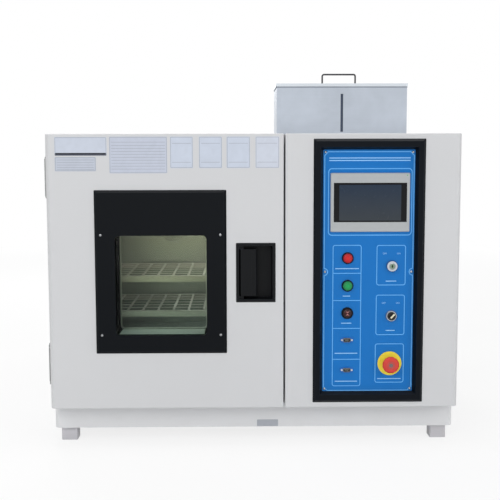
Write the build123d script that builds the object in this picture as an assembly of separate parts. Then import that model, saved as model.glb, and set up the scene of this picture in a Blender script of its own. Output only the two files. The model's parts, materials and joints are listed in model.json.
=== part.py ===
from build123d import *
import math
import os

os.makedirs("parts", exist_ok=True)

# Overall sizes in millimetres. X = 0 is the middle of the width, Y = 0 the middle of the depth,
# Z = 0 the floor, and the door faces -Y.
cabinet_width = 1000.0
cabinet_depth = 650.0
cover_width = 425.0
foot_height = 34.0
base_height = 62.0
door_height = 669.0
top_skirt = 20.0
sheet = 1.5
corner_radius = 12.0
return_flange = 30.0

# Door and control cover
seam = 4.0
door_thickness = 44.0
door_gap = 3.5
small_radius = 3.0
edge_radius = 2.0
plug_clearance = 6.0
plug_depth = 44.0
plug_taper = 4.0
plug_radius = 18.0

# Insulated chamber, set in from the edges of the door's opening
chamber_side = 74.0
chamber_handle_side = 97.0
chamber_margin = 134.5
liner_thickness = 1.0
liner_radius = 16.0
rear_foam = 60.0
rear_room = 60.5
duct_depth = 89.5
partition_gap = 2.0

# Window, set in from the chamber's outline
window_side = 41.0
window_margin = 1.0
window_rise = 1.5
glass_side = 48.5
glass_margin = 77.0
glass_drop = 32.5
glass_radius = 10.0
bezel_height = 6.0
bezel_chamfer = 6.0
tube_wall = 3.0
outer_pane = 4.0
outer_pane_depth = 6.0
inner_pane = 5.0
pane_lap = 10.0
lip_width = 3.0
gasket_width = 16.0
gasket_radius = 1.6
gasket_gap = 0.3

# Flush handle and latch
handle_inset = 67.5
handle_width = 96.0
handle_height = 145.0
handle_rim = 7.0
handle_rise = 2.5
handle_depth = 30.0
handle_wall = 2.5
paddle_share = 0.54
paddle_thickness = 3.5
paddle_lip = 13.0
paddle_recess = 1.0
paddle_gap = 5.0
paddle_flat = 26.0
paddle_slope = 3.0
pin_radius = 2.5
pin_clearance = 0.05
bolt_width = 16.0
bolt_thickness = 10.0
bolt_reach = 2.4
bolt_travel = 9.0
bolt_clearance = 0.4

# Barrel hinges
hinge_length = 92.0
hinge_inset = 104.5
barrel_radius = 5.0
barrel_standoff = 0.5
hinge_pin_radius = 2.5
leaf_thickness = 2.5
leaf_width = 32.0
knuckles = 3
knuckle_gap = 0.5
finial_height = 5.0

# Control side
control_offset = -10.0
control_width = 270.0
control_margin = 12.5
control_slope = 7.0
control_border = 17.0
control_recess = 8.0
plate_thickness = 2.0
plate_margin = 9.0
plate_screw_side = 29.5
plate_screw_end = 32.0
screw_radius = 3.0
screw_height = 2.2
screen_side = 14.5
screen_height = 143.0
screen_x = 2.8
screen_rise = 5.0
screen_depth = 33.0
screen_border_side = 8.0
screen_border_end = 24.0
screen_glass_thickness = 2.0
lamp_x = -50.4
lamp_count = 3
lamp_collar_radius = 14.4
lamp_lens_radius = 11.6
lamp_collar_height = 5.0
lens_seat = 0.8
port_x = -50.7
port_width = 31.0
port_height = 13.0
switch_x = 57.6
stop_x = 54.8
switch_radius = 14.4
switch_height = 8.0
selector_height = 5.6
barrel_seat = 6.0
barrel_gap = 0.3
key_radius = 8.0
knob_radius = 10.4
body_radius = 11.0
body_depth = 30.0
stop_disc_radius = 29.5
stop_disc_thickness = 1.5
stop_head_radius = 20.5
stop_head_height = 11.0
stop_head_front = 26.0
stop_stem_radius = 7.0
stop_collar_radius = 12.0
stop_collar_height = 6.0
stop_bore = 14.0
stop_stem_end = 8.0
stop_journal_radius = 4.0
stop_journal = 4.0
running_clearance = 0.06

# Levels on the control plate, as shares of its frame's height above and below the middle
screen_share = 0.2624
lamp_share = 0.0526
lamp_step_share = 0.1051
port_share = -0.2612
port_step_share = 0.116
key_share = 0.0217
selector_share = -0.1689
stop_share = -0.3523

# Water tank on the top
tank_inset = 261.5
tank_width = 347.0
tank_rear_gap = 240.0
tank_depth = 160.0
tank_height = 138.0
tank_wall = 1.2
lid_skirt = 8.0
lid_gap = 0.4
slot_width = 7.0
slot_bottom = 12.0
slot_top = 26.0
sight_width = 20.0
sight_thickness = 3.0
lid_handle_width = 95.0
lid_handle_height = 33.0
lid_rod_radius = 2.3
lid_rod_bend = 5.0
feed_radius = 5.0
feed_offset = 100.0
feed_run = 99.75

# Shelves
shelf_heights = (177.5, 87.5)
shelf_front = 120.0
shelf_plate = 1.5
shelf_lip = 15.0
shelf_columns = 9
shelf_rows = 6
rail_width = 14.0
rail_thickness = 1.5
rail_gap = 1.5

# Air system behind the baffle
blower_radius = 66.0
blower_width = 42.0
blower_blades = 24
blower_drop = 110.5
blade_thickness = 1.2
shaft_radius = 4.0
motor_radius = 45.0
motor_clearance = 9.0
inlet_radius = 54.0
inlet_rings = 4
heater_rod = 4.0
coil_rod = 5.0
coil_rows = 5
coil_pitch = 26.0

# Machine compartment
pot_radius = 78.0
pot_height = 190.0
pot_rear_gap = 102.0
pot_clearance = 110.0
condenser_thickness = 44.0
condenser_depth = 250.0
condenser_height = 230.0
condenser_z = 130.0
condenser_front = 260.0
condenser_clearance = 16.0
condenser_fins = 22
fan_radius = 96.0
fan_blades = 5
fan_hub_radius = 26.0
fan_width = 24.0
fan_motor_length = 40.0
fan_motor_radius = 34.0
shroud_depth = 30.0

# Sides and rear
louvre_rows = 9
louvre_pitch = 24.0
louvre_length = 180.0
louvre_height = 7.0
vent_rows = 8
vent_columns = 3
port_bore = 50.0
port_sleeve_wall = 2.5
port_flange = 8.0
port_plug_length = 36.0
drain_radius = 8.0
stub_radius = 7.0
stub_length = 22.0
stub_bore = 5.0
base_slots = 4
base_slot_start = 110.0
base_slot_pitch = 34.0
base_slot_length = 180.0
base_slot_width = 12.0
foot_size = 40.0
foot_wall = 2.5
foot_inset = 14.0
foot_setback = 10.0

# Derived places
body_bottom = foot_height
base_top = body_bottom + base_height
body_top = base_top + door_height
front_y = -cabinet_depth / 2
left_x = -cabinet_width / 2
right_x = cabinet_width / 2
front_wall = door_thickness + door_gap
cover_left = right_x - cover_width
door_right = cover_left - seam
partition_x = door_right + partition_gap
middle_z = (base_top + body_top) / 2
skirt_bottom = body_top - top_skirt
liner_left = left_x + chamber_side
liner_right = door_right - chamber_handle_side
liner_bottom = base_top + chamber_margin
liner_top = body_top - chamber_margin
chamber_x = (liner_left + liner_right) / 2
chamber_width = liner_right - liner_left
chamber_height = liner_top - liner_bottom
foam_rear = cabinet_depth - rear_room
liner_rear = foam_rear - rear_foam
baffle_depth = liner_rear - duct_depth
plug_tip = door_thickness + plug_depth
window_width = chamber_width - 2 * window_side
window_height = chamber_height - 2 * window_margin
window_z = middle_z + window_rise
glass_width = window_width - 2 * glass_side
glass_height = window_height - 2 * glass_margin
glass_z = window_z - glass_drop
tube_end = plug_tip - sheet - inner_pane
control_x = (cover_left + right_x) / 2 + control_offset
control_height = door_height - 2 * control_margin
view_width = control_width - 2 * control_border - 2 * control_slope
screen_width = view_width - 2 * screen_side
screen_glass_width = screen_width - 2 * screen_border_side
screen_glass_height = screen_height - 2 * screen_border_end
screen_cx = control_x + screen_x
screen_cz = middle_z + screen_share * control_height
lamp_cx = control_x + lamp_x
port_cx = control_x + port_x
switch_cx = control_x + switch_x
stop_cx = control_x + stop_x
stop_cz = middle_z + stop_share * control_height
key_cz = middle_z + key_share * control_height
selector_cz = middle_z + selector_share * control_height
tank_x = right_x - tank_inset
tank_setback = cabinet_depth - tank_rear_gap - tank_depth
tank_left = tank_x - tank_width / 2
tank_right = tank_x + tank_width / 2
tank_top = body_top + tank_height
slot_height = tank_height - slot_bottom - slot_top
shelf_levels = [liner_bottom + height for height in shelf_heights]
blower_z = liner_top - blower_drop
hinge_x = left_x - barrel_radius - barrel_standoff
hinge_depth = door_thickness + door_gap / 2
handle_x = door_right - handle_inset
handle_left = handle_x - handle_width / 2 + handle_rim
handle_right = handle_x + handle_width / 2 - handle_rim
pivot_x = handle_left + pin_radius + paddle_gap
pivot_depth = paddle_recess + paddle_thickness + pin_radius
pot_cx = partition_x + pot_clearance + pot_radius
pot_depth = cabinet_depth - pot_rear_gap
condenser_x = right_x - sheet - condenser_clearance - condenser_thickness
fan_z = condenser_z + condenser_height / 2
fan_depth = condenser_front + condenser_depth / 2
motor_depth = foam_rear
motor_length = rear_room - sheet - motor_clearance


def behind(depth):
    """Y at a depth behind the door's front plane."""
    return front_y + depth


def block(x0, x1, d0, d1, z0, z1):
    """Box given by its limits: X, depth behind the door's front plane, Z."""
    size = (x1 - x0, d1 - d0, z1 - z0)
    return Pos((x0 + x1) / 2, behind((d0 + d1) / 2), (z0 + z1) / 2) * Box(*size)


def front_plane(depth):
    """Plane that faces the viewer, with X to the right and Z up."""
    return Plane(origin=(0, behind(depth), 0), x_dir=(1, 0, 0), z_dir=(0, -1, 0))


def sheet_at(depth, thickness, outline):
    """Outline in X and Z, made solid from its depth backwards."""
    return extrude(front_plane(depth) * outline, amount=-thickness)


def rounded(cx, cz, width, height, radius):
    return Pos(cx, cz) * RectangleRounded(width, height, radius)


def rod_y(cx, cz, radius, d0, d1):
    """Round bar along Y between two depths."""
    centre = Pos(cx, behind((d0 + d1) / 2), cz)
    return centre * Rot(90, 0, 0) * Cylinder(radius, d1 - d0)


def rod_x(x0, x1, depth, z, radius):
    """Round bar along X."""
    return Pos((x0 + x1) / 2, behind(depth), z) * Rot(0, 90, 0) * Cylinder(radius, x1 - x0)


def rod_z(x, depth, z0, z1, radius):
    return Pos(x, behind(depth), (z0 + z1) / 2) * Cylinder(radius, z1 - z0)


def turned(cx, depth, cz, profile):
    """Solid of revolution about Y; profile is (radius, depth) points from one end to the other."""
    outline = make_face(Polyline(*[(r, 0, d) for r, d in profile], close=True))
    return Pos(cx, behind(depth), cz) * Rot(-90, 0, 0) * revolve(outline, axis=Axis.Z)


def tapered(cx, cz, d0, d1, size0, size1, radius0, radius1):
    """Loft between two rounded rectangles that face the viewer."""
    front = front_plane(d0) * rounded(cx, cz, size0[0], size0[1], radius0)
    back = front_plane(d1) * rounded(cx, cz, size1[0], size1[1], radius1)
    return loft([front, back])


def front_pan(x0, x1, depth, radius_left, radius_right):
    """Folded pan, open at the back, with its rounded corners at the front."""
    shell = block(x0, x1, 0, depth, base_top, body_top)
    shell = round_upright(shell, radius_left, radius_right)
    front = shell.faces().sort_by(Axis.Y)[0]
    level = [e for e in front.edges() if abs(e.tangent_at(0.5).Z) < 0.5]
    shell = fillet(level, edge_radius)
    room = block(x0 + sheet, x1 - sheet, sheet, depth + sheet, base_top + sheet, body_top - sheet)
    room = round_upright(room, radius_left - sheet, radius_right - sheet)
    return shell - room


def round_upright(solid, radius_left, radius_right):
    """Round the two upright front edges of a block."""
    uprights = solid.edges().filter_by(Axis.Z).group_by(Axis.Y)[0].sort_by(Axis.X)
    solid = fillet(uprights[0], radius_left)
    uprights = solid.edges().filter_by(Axis.Z).group_by(Axis.Y)[0].sort_by(Axis.X)
    return fillet(uprights[-1], radius_right)


def cabinet_outline(inset):
    """Plan of the cabinet body with its four rounded corners, drawn inset from the outside."""
    width = cabinet_width - 2 * inset
    depth = cabinet_depth - front_wall - 2 * inset
    middle = behind((front_wall + cabinet_depth) / 2)
    return Pos(0, middle) * RectangleRounded(width, depth, corner_radius - inset)


def cabinet_slab(inset, z0, z1):
    return Pos(0, 0, z0) * extrude(cabinet_outline(inset), amount=z1 - z0)


# Cabinet body

def base_pan():
    pan = cabinet_slab(0, body_bottom, base_top)
    pan -= cabinet_slab(sheet, body_bottom + sheet, base_top + 1)
    pan -= drain_hole()
    for row in range(base_slots):
        depth = base_slot_start + row * base_slot_pitch
        pan -= block(pot_cx - base_slot_length / 2, pot_cx + base_slot_length / 2, depth,
                     depth + base_slot_width, body_bottom - 1, body_bottom + 2 * sheet)
    return pan


def drain_hole():
    return rod_y(chamber_x, drain_z(), drain_radius, foam_rear, cabinet_depth + 1)


def drain_z():
    return base_top + 30.0


def side_profile(side):
    """Side panel's plan: the ring of the cabinet outline, kept only near one side."""
    ring = cabinet_outline(0) - cabinet_outline(sheet)
    keep = Pos(side * (right_x - return_flange / 2), 0) * Rectangle(return_flange, 2 * cabinet_depth)
    return ring & keep


def side_panel(side):
    profile = side_profile(side)
    return Pos(0, 0, base_top) * extrude(profile, amount=skirt_bottom - base_top)


def side_panel_left():
    panel = side_panel(-1)
    port = rod_x(left_x - 1, left_x + return_flange, port_depth(), port_height_z(), port_bore / 2)
    return panel - port


def port_depth():
    return baffle_depth - 140.0


def port_height_z():
    return middle_z + 60.0


def louvre(z):
    """One pressed louvre hood on the right panel, closed at its ends and open below."""
    start = fan_depth - louvre_length / 2
    points = [(right_x - sheet, z), (right_x + louvre_height, z), (right_x - sheet, z + louvre_pitch * 0.62)]
    plane = Plane(origin=(0, behind(start), 0), x_dir=(1, 0, 0), z_dir=(0, -1, 0))
    outer = extrude(plane * make_face(Polyline(*points, close=True)), amount=-louvre_length)
    return outer


def louvre_room(z):
    start = fan_depth - louvre_length / 2 + sheet
    low = z - sheet
    high = z + louvre_pitch * 0.62 - 2 * sheet
    points = [(right_x - 3 * sheet, low), (right_x + louvre_height - sheet, low), (right_x - 3 * sheet, high)]
    plane = Plane(origin=(0, behind(start), 0), x_dir=(1, 0, 0), z_dir=(0, -1, 0))
    return extrude(plane * make_face(Polyline(*points, close=True)), amount=-(louvre_length - 2 * sheet))


def side_panel_right():
    panel = side_panel(1)
    first = fan_z - (louvre_rows - 1) / 2 * louvre_pitch
    for row in range(louvre_rows):
        z = first + row * louvre_pitch
        panel += louvre(z)
        panel -= louvre_room(z)
    return panel


def top_panel():
    cap = cabinet_slab(0, skirt_bottom, body_top)
    cap -= cabinet_slab(sheet, skirt_bottom - 1, body_top - sheet)
    return cap - rod_z(feed_x(), feed_depth(), body_top - 2 * sheet, body_top + 1, feed_radius)


def feed_x():
    return partition_x + feed_offset


def feed_depth():
    return feed_out_depth() - feed_run


def rear_panel():
    inner = right_x - return_flange
    panel = block(-inner, inner, cabinet_depth - sheet, cabinet_depth, base_top, skirt_bottom)
    for group_x in (chamber_x, fan_vent_x()):
        for row in range(vent_rows):
            for column in range(vent_columns):
                x = group_x + (column - (vent_columns - 1) / 2) * 52.0
                z = blower_z - 60.0 + row * 16.0
                slot = rounded(x, z, 42.0, 6.0, 2.9)
                panel -= sheet_at(cabinet_depth - 3, 6, slot)
    panel -= rod_y(gland_x(), drain_z(), 9.0, cabinet_depth - 5, cabinet_depth + 5)
    return panel - drain_hole()


def fan_vent_x():
    return (partition_x + right_x) / 2


def gland_x():
    return right_x - 110.0


def feet():
    solids = []
    for side in (-1, 1):
        for depth in (front_wall + foot_setback, cabinet_depth - foot_setback - foot_size):
            outer_x = side * (right_x - foot_inset)
            x0, x1 = sorted((outer_x, outer_x - side * foot_size))
            tube = block(x0, x1, depth, depth + foot_size, 0, foot_height)
            tube = fillet(tube.edges().filter_by(Axis.Z), 4)
            room = block(x0 + foot_wall, x1 - foot_wall, depth + foot_wall,
                         depth + foot_size - foot_wall, foot_wall, foot_height - foot_wall)
            solids.append(tube - room)
    return solids


def foam_block():
    """Foam outside: it fills the left side of the body up to the partition line."""
    slab = cabinet_slab(sheet, base_top, body_top - sheet)
    keep = block(left_x, partition_x, front_wall + sheet, foam_rear, base_top, body_top)
    return slab & keep


def liner_shape(grow, end):
    """Chamber inside, grown outwards by a wall, from the cabinet's front to a depth."""
    outline = rounded(chamber_x, middle_z, chamber_width + 2 * grow, chamber_height + 2 * grow,
                      liner_radius + grow)
    return sheet_at(front_wall - 1, end - front_wall + 1, outline)


def wall_holes():
    """Holes through the chamber's walls: shaft, cable port, water feed, drain, lamp and probes."""
    holes = [rod_y(chamber_x, blower_z, shaft_radius + 3, liner_rear - 5, foam_rear + 1)]
    holes.append(rod_x(left_x - 1, liner_left + 5, port_depth(), port_height_z(), sleeve_radius()))
    holes.append(rod_x(liner_right - 5, partition_x + 1, feed_out_depth(), feed_out_z(), feed_radius))
    holes.append(along(drain_path(), Circle(drain_radius)))
    holes.append(rod_z(chamber_x, drain_depth(), liner_bottom - 5, liner_bottom + 5, drain_radius))
    return holes


def along(path, section):
    """Sweep a section, drawn at the path's start, along it."""
    return sweep(Plane(origin=path @ 0, z_dir=path % 0) * section, path=path)


def drain_path():
    depth = drain_depth()
    start = (chamber_x, behind(depth), liner_bottom - liner_thickness)
    return FilletPolyline(start, (chamber_x, behind(depth), drain_z()),
                          (chamber_x, behind(cabinet_depth), drain_z()), radius=18)


def feed_path():
    x, depth = feed_x(), feed_depth()
    out_depth, out_z = feed_out_depth(), feed_out_z()
    return FilletPolyline((x, behind(depth), body_top + 2), (x, behind(depth), out_z + 60),
                          (x, behind(out_depth), out_z + 60), (x, behind(out_depth), out_z),
                          (liner_right - 30, behind(out_depth), out_z), radius=16)


def sleeve_radius():
    return port_bore / 2


def drain_depth():
    return liner_rear - 40.0


def feed_out_depth():
    return (baffle_depth + liner_rear) / 2


def feed_out_z():
    return liner_bottom + 46.0


def chamber_insulation():
    foam = foam_block() - liner_shape(liner_thickness, liner_rear + liner_thickness)
    for hole in wall_holes():
        foam -= hole
    return foam


def chamber_liner():
    inner = right_x - return_flange
    flange = block(-inner, partition_x, front_wall, front_wall + sheet, base_top, skirt_bottom)
    box = liner_shape(liner_thickness, liner_rear + liner_thickness)
    liner = flange + (box & block(left_x, right_x, front_wall, foam_rear, 0, body_top))
    liner -= liner_shape(0, liner_rear)
    for hole in wall_holes():
        liner -= hole
    return liner


def cable_port_sleeve():
    """Round sleeve through the left wall, with a flange outside."""
    depth, z = port_depth(), port_height_z()
    sleeve = rod_x(left_x, liner_left, depth, z, sleeve_radius())
    sleeve += rod_x(left_x - sheet, left_x, depth, z, sleeve_radius() + port_flange)
    return sleeve - rod_x(left_x - 5, liner_left + 5, depth, z, sleeve_radius() - port_sleeve_wall)


def cable_port_plug():
    depth, z = port_depth(), port_height_z()
    bore = sleeve_radius() - port_sleeve_wall
    plug = rod_x(left_x - sheet, left_x + port_plug_length, depth, z, bore - 0.3)
    plug = fillet(plug.edges().sort_by(Axis.X)[-1], 4)
    cap = rod_x(left_x - sheet - 6, left_x - sheet - 0.3, depth, z, bore + 4)
    cap = fillet(cap.edges().sort_by(Axis.X)[0], 2)
    neck = rod_x(left_x - sheet - 1, left_x, depth, z, bore - 0.3)
    return cap + neck + plug


# Door

def door_shell():
    shell = front_pan(left_x, door_right, door_thickness, corner_radius, small_radius)
    outline = rounded(chamber_x, glass_z, tube_width(), tube_height(), glass_radius + tube_wall)
    shell -= sheet_at(-1, 5, outline)
    shell -= sheet_at(-1, 5, handle_outline(0))
    return shell - bolt_channel(door_right - 5, door_right + 1)


def tube_width():
    return glass_width + 2 * tube_wall


def tube_height():
    return glass_height + 2 * tube_wall


def handle_outline(gap):
    inset = 2 * (handle_rim - handle_wall) - 2 * gap
    return rounded(handle_x, middle_z, handle_width - inset, handle_height - inset, 3)


def bolt_channel(x0, x1):
    half_z = bolt_width / 2 + bolt_clearance
    half_y = bolt_thickness / 2 + bolt_clearance
    depth = bolt_depth()
    return block(x0, x1, depth - half_y, depth + half_y, middle_z - half_z, middle_z + half_z)


def cup_right():
    return handle_right + handle_wall


def bolt_depth():
    return handle_depth / 2 + 3.0


def plug_shape(inset, tip):
    """Door plug with its draft, drawn inset by a wall."""
    base = (chamber_width - 2 * (plug_clearance + inset), chamber_height - 2 * (plug_clearance + inset))
    end = (base[0] - 2 * plug_taper, base[1] - 2 * plug_taper)
    return tapered(chamber_x, middle_z, door_thickness - sheet, tip, base, end,
                   plug_radius - inset, plug_radius - inset)


def door_inner_panel():
    panel = block(left_x + sheet, door_right - sheet, door_thickness - sheet, door_thickness,
                  base_top + sheet, body_top - sheet)
    panel += plug_shape(0, plug_tip)
    panel -= plug_shape(sheet, plug_tip - sheet)
    lip = rounded(chamber_x, glass_z, glass_width - 2 * lip_width, glass_height - 2 * lip_width, glass_radius)
    return panel - sheet_at(plug_tip - 5, 10, lip)


def door_insulation():
    room = block(left_x + sheet, door_right - sheet, sheet, door_thickness - sheet,
                 base_top + sheet, body_top - sheet)
    room = round_upright(room, corner_radius - sheet, small_radius - sheet)
    foam = room + plug_shape(sheet, plug_tip - sheet)
    tube = rounded(chamber_x, glass_z, tube_width(), tube_height(), glass_radius + tube_wall)
    foam -= sheet_at(-1, plug_tip + 5, tube)
    foam -= sheet_at(tube_end, plug_tip, pane_outline())
    foam -= sheet_at(-1, handle_depth + 1, handle_outline(0))
    return foam - bolt_channel(cup_right() - 1, door_right + 1)


def pane_outline():
    return rounded(chamber_x, glass_z, glass_width + 2 * pane_lap, glass_height + 2 * pane_lap, glass_radius)


def window_bezel():
    """Black plate with a chamfered rim, and the deep reveal behind it."""
    rim = tapered(chamber_x, window_z, -bezel_height, 0,
                  (window_width - 2 * bezel_chamfer, window_height - 2 * bezel_chamfer),
                  (window_width, window_height), 2, 2)
    tube = rounded(chamber_x, glass_z, tube_width(), tube_height(), glass_radius + tube_wall)
    bezel = rim + sheet_at(0, tube_end, tube)
    hole = rounded(chamber_x, glass_z, glass_width, glass_height, glass_radius)
    bezel -= sheet_at(-bezel_height - 1, tube_end + bezel_height + 2, hole)
    return bezel


def bezel_screw_places():
    half = glass_width / 2 + 33.5
    rise = glass_height / 2
    return [(chamber_x + i * half, glass_z + 1.5 + j * rise) for i in (-1, 1) for j in (-1, 1)]


def screw_head(cx, cz, depth):
    """Round screw head with a cross recess, standing out from a face."""
    head = turned(cx, depth, cz, [(0, 0), (screw_radius, 0), (screw_radius, -0.6),
                                  (screw_radius * 0.6, -screw_height + 0.4), (0, -screw_height)])
    for turn in (0, 90):
        bar = Pos(cx, behind(depth - screw_height), cz) * Rot(0, turn, 0) * Box(3.2, 1.6, 0.7)
        head -= bar
    return head


def bezel_screws():
    return [screw_head(x, z, -bezel_height) for x, z in bezel_screw_places()]


def window_panes():
    outline = rounded(chamber_x, glass_z, glass_width, glass_height, glass_radius)
    outer = sheet_at(outer_pane_depth, outer_pane, outline)
    inner = sheet_at(tube_end, inner_pane, pane_outline())
    return [outer, inner]


def door_gasket():
    """Silicone ring on the door's back face, round on the side that meets the liner's flange."""
    height = door_gap - gasket_gap
    width = chamber_width + 2 * gasket_width + 12
    tall = chamber_height + 2 * gasket_width + 12
    outer = rounded(chamber_x, middle_z, width, tall, liner_radius + gasket_width)
    inner = rounded(chamber_x, middle_z, width - 2 * gasket_width, tall - 2 * gasket_width, liner_radius)
    ring = sheet_at(door_thickness, height, outer - inner)
    return fillet(ring.faces().sort_by(Axis.Y)[-1].edges(), gasket_radius)


def handle_housing():
    """Flush cup with a bevelled rim; the pull paddle hangs on its left."""
    rim = tapered(handle_x, middle_z, -handle_rise, 0,
                  (handle_width - 4, handle_height - 4), (handle_width, handle_height), 2, 2)
    cup = rim + sheet_at(0, handle_depth, handle_outline(0))
    room_width = handle_width - 2 * handle_rim
    room_height = handle_height - 2 * handle_rim
    front = (room_width, room_height)
    back = (room_width - 6, room_height - 6)
    cup -= tapered(handle_x, middle_z, -handle_rise - 1, handle_depth - handle_wall, front, back, 3, 6)
    for side in (-1, 1):
        z0 = middle_z + side * (room_height / 2 - 1)
        z1 = middle_z + side * (room_height / 2 - 8)
        low, high = sorted((z0, z1))
        boss = block(handle_left - 0.5, pivot_x + 4, pivot_depth - 4, handle_depth - handle_wall, low, high)
        cup += boss
    bore = pin_radius + pin_clearance
    return cup - rod_z(pivot_x, pivot_depth, middle_z - room_height / 2 + 1,
                       middle_z + room_height / 2 - 1, bore)


def handle_lever():
    """Pull paddle: a plate with a rolled finger lip, and stub pins at its hinge edge."""
    room_width = handle_width - 2 * handle_rim
    half = handle_height / 2 - handle_rim - 9
    end_x = handle_left + room_width * paddle_share
    start = pivot_x - pin_radius
    front = paddle_recess
    slope = front + paddle_slope
    section = make_face(Polyline(
        (start, front), (start + paddle_flat, front), (end_x - 3, slope), (end_x, slope + 3),
        (end_x, front + paddle_lip), (end_x - paddle_thickness, front + paddle_lip),
        (end_x - paddle_thickness, slope + paddle_thickness + 2),
        (end_x - paddle_thickness - 3, slope + paddle_thickness),
        (start + paddle_flat, front + paddle_thickness), (pivot_x + 7, front + paddle_thickness),
        (pivot_x + 3, pivot_depth + pin_radius), (start, pivot_depth + pin_radius), close=True))
    plan = Plane(origin=(0, front_y, middle_z - half), x_dir=(1, 0, 0), z_dir=(0, 0, 1))
    plate = extrude(plan * section, amount=2 * half)
    reach = handle_height / 2 - handle_rim - 2
    return plate + rod_z(pivot_x, pivot_depth, middle_z - reach, middle_z + reach, pin_radius)


def latch_bolt():
    depth = bolt_depth()
    x1 = door_right + bolt_reach
    bolt = block(cup_right() + bolt_travel + 1, x1, depth - bolt_thickness / 2, depth + bolt_thickness / 2,
                 middle_z - bolt_width / 2, middle_z + bolt_width / 2)
    nose = bolt.faces().sort_by(Axis.X)[-1].edges().filter_by(Axis.Z)
    return fillet(nose, 3)


def strike_plate():
    """Steel plate let into the control cover's left wall, with a shallow pocket for the bolt."""
    plate = block(cover_left + sheet, cover_left + sheet + 3, bolt_depth() - 14, bolt_depth() + 14,
                  middle_z - 40, middle_z + 40)
    half_z = bolt_width / 2 + 1.5
    half_y = bolt_thickness / 2 + 1.5
    return plate - block(cover_left, cover_left + 3, bolt_depth() - half_y, bolt_depth() + half_y,
                         middle_z - half_z, middle_z + half_z)


def hinge_levels():
    return (base_top + hinge_inset, body_top - hinge_inset)


def knuckle_spans(low, owner):
    """Z spans of the knuckles that one leaf owns: the cabinet leaf has the outer ones."""
    step = hinge_length / knuckles
    spans = []
    for index in range(knuckles):
        if index % 2 == owner:
            spans.append((low + index * step + knuckle_gap / 2, low + (index + 1) * step - knuckle_gap / 2))
    return spans


def hinge_leaf(level, owner):
    """One leaf: a plate on the side face, joined to its knuckles round the pin."""
    low = level - hinge_length / 2
    inner = left_x
    if owner == 0:
        d0, d1 = front_wall + 0.5, front_wall + leaf_width
    else:
        d0, d1 = door_thickness - leaf_width, door_thickness - 0.5
    leaf = block(inner - leaf_thickness, inner, d0, d1, low, low + hinge_length)
    for z0, z1 in knuckle_spans(low, owner):
        leaf += rod_z(hinge_x, hinge_depth, z0, z1, barrel_radius)
        near0, near1 = sorted((hinge_depth, d0 if owner == 0 else d1))
        leaf += block(hinge_x + 1, inner - barrel_standoff, near0, near1 + 1.0 * (1 - owner), z0, z1)
    for z0, z1 in knuckle_spans(low, 1 - owner):
        leaf -= rod_z(hinge_x, hinge_depth, z0 - knuckle_gap, z1 + knuckle_gap, barrel_radius + knuckle_gap)
    bore = hinge_pin_radius + (running_clearance if owner == 1 else 0)
    leaf -= rod_z(hinge_x, hinge_depth, low - 1, low + hinge_length + 1, bore)
    return leaf


def hinge_cabinet_leaves():
    """Two cabinet leaves with their pins pressed in and a turned finial at each end."""
    solids = []
    for level in hinge_levels():
        low = level - hinge_length / 2
        solids.append(hinge_leaf(level, 0))
        pin = rod_z(hinge_x, hinge_depth, low, low + hinge_length, hinge_pin_radius)
        for side in (-1, 1):
            end = level + side * hinge_length / 2
            cap = rod_z(hinge_x, hinge_depth, min(end, end + side * finial_height),
                        max(end, end + side * finial_height), barrel_radius - 1.2)
            tip = cap.edges().sort_by(Axis.Z)[-1 if side > 0 else 0]
            pin += fillet(tip, 2.5)
        solids.append(pin)
    return solids


def hinge_door_leaves():
    return [hinge_leaf(level, 1) for level in hinge_levels()]


# Control side

def control_cover():
    cover = front_pan(cover_left, right_x, front_wall, small_radius, corner_radius)
    hole = rounded(control_x, middle_z, frame_width(), frame_height(), 3)
    cover -= sheet_at(-1, 5, hole)
    half_z = bolt_width / 2 + 1.5
    half_y = bolt_thickness / 2 + 1.5
    return cover - block(cover_left - 1, cover_left + 5, bolt_depth() - half_y, bolt_depth() + half_y,
                         middle_z - half_z, middle_z + half_z)


def frame_width():
    return control_width - 2 * control_slope


def frame_height():
    return control_height - 2 * control_slope


def control_bezel():
    """Black frame: chamfered outside, and a sloped throat down to the sunk control plate."""
    rim = tapered(control_x, middle_z, -bezel_height, 0,
                  (control_width - 2 * bezel_chamfer, control_height - 2 * bezel_chamfer),
                  (control_width, control_height), 2, 2)
    tube = rounded(control_x, middle_z, frame_width(), frame_height(), 3)
    frame = rim + sheet_at(0, control_recess, tube)
    front = (control_width - 2 * control_border, control_height - 2 * control_border - 6)
    back = (front[0] - 14, front[1] - 12)
    frame -= tapered(control_x, middle_z, -bezel_height, control_recess, front, back, 2, 2)
    return frame


def control_plate():
    """Blue plate with its cut-outs for the screen, lamps, switches and ports."""
    plate = rounded(control_x, middle_z, frame_width() + 2 * plate_margin,
                    frame_height() + 2 * plate_margin, 4)
    plate -= Pos(screen_cx, screen_cz) * Rectangle(screen_width - 12, screen_height - 12)
    for x, z in device_places():
        plate -= Pos(x, z) * Circle(body_radius)
    for z in port_levels():
        plate -= rounded(port_cx, z, port_width * 0.62, port_height - 3, 2)
    return sheet_at(control_recess, plate_thickness, plate)


def port_levels():
    return [middle_z + (port_share - index * port_step_share) * control_height for index in range(2)]


def lamp_levels():
    return [middle_z + (lamp_share - index * lamp_step_share) * control_height
            for index in range(lamp_count)]


def device_places():
    """Centres of the 22 mm devices: three lamps, key switch, selector and emergency stop."""
    places = [(lamp_cx, z) for z in lamp_levels()]
    places += [(switch_cx, key_cz), (switch_cx, selector_cz), (stop_cx, stop_cz)]
    return places


def panel_screws():
    side = control_width / 2 - plate_screw_side
    end = control_height / 2 - plate_screw_end
    spots = [(control_x + i * side, middle_z + j * end) for i in (-1, 1) for j in (-1, 0, 1)]
    return [screw_head(x, z, control_recess) for x, z in spots]


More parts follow.
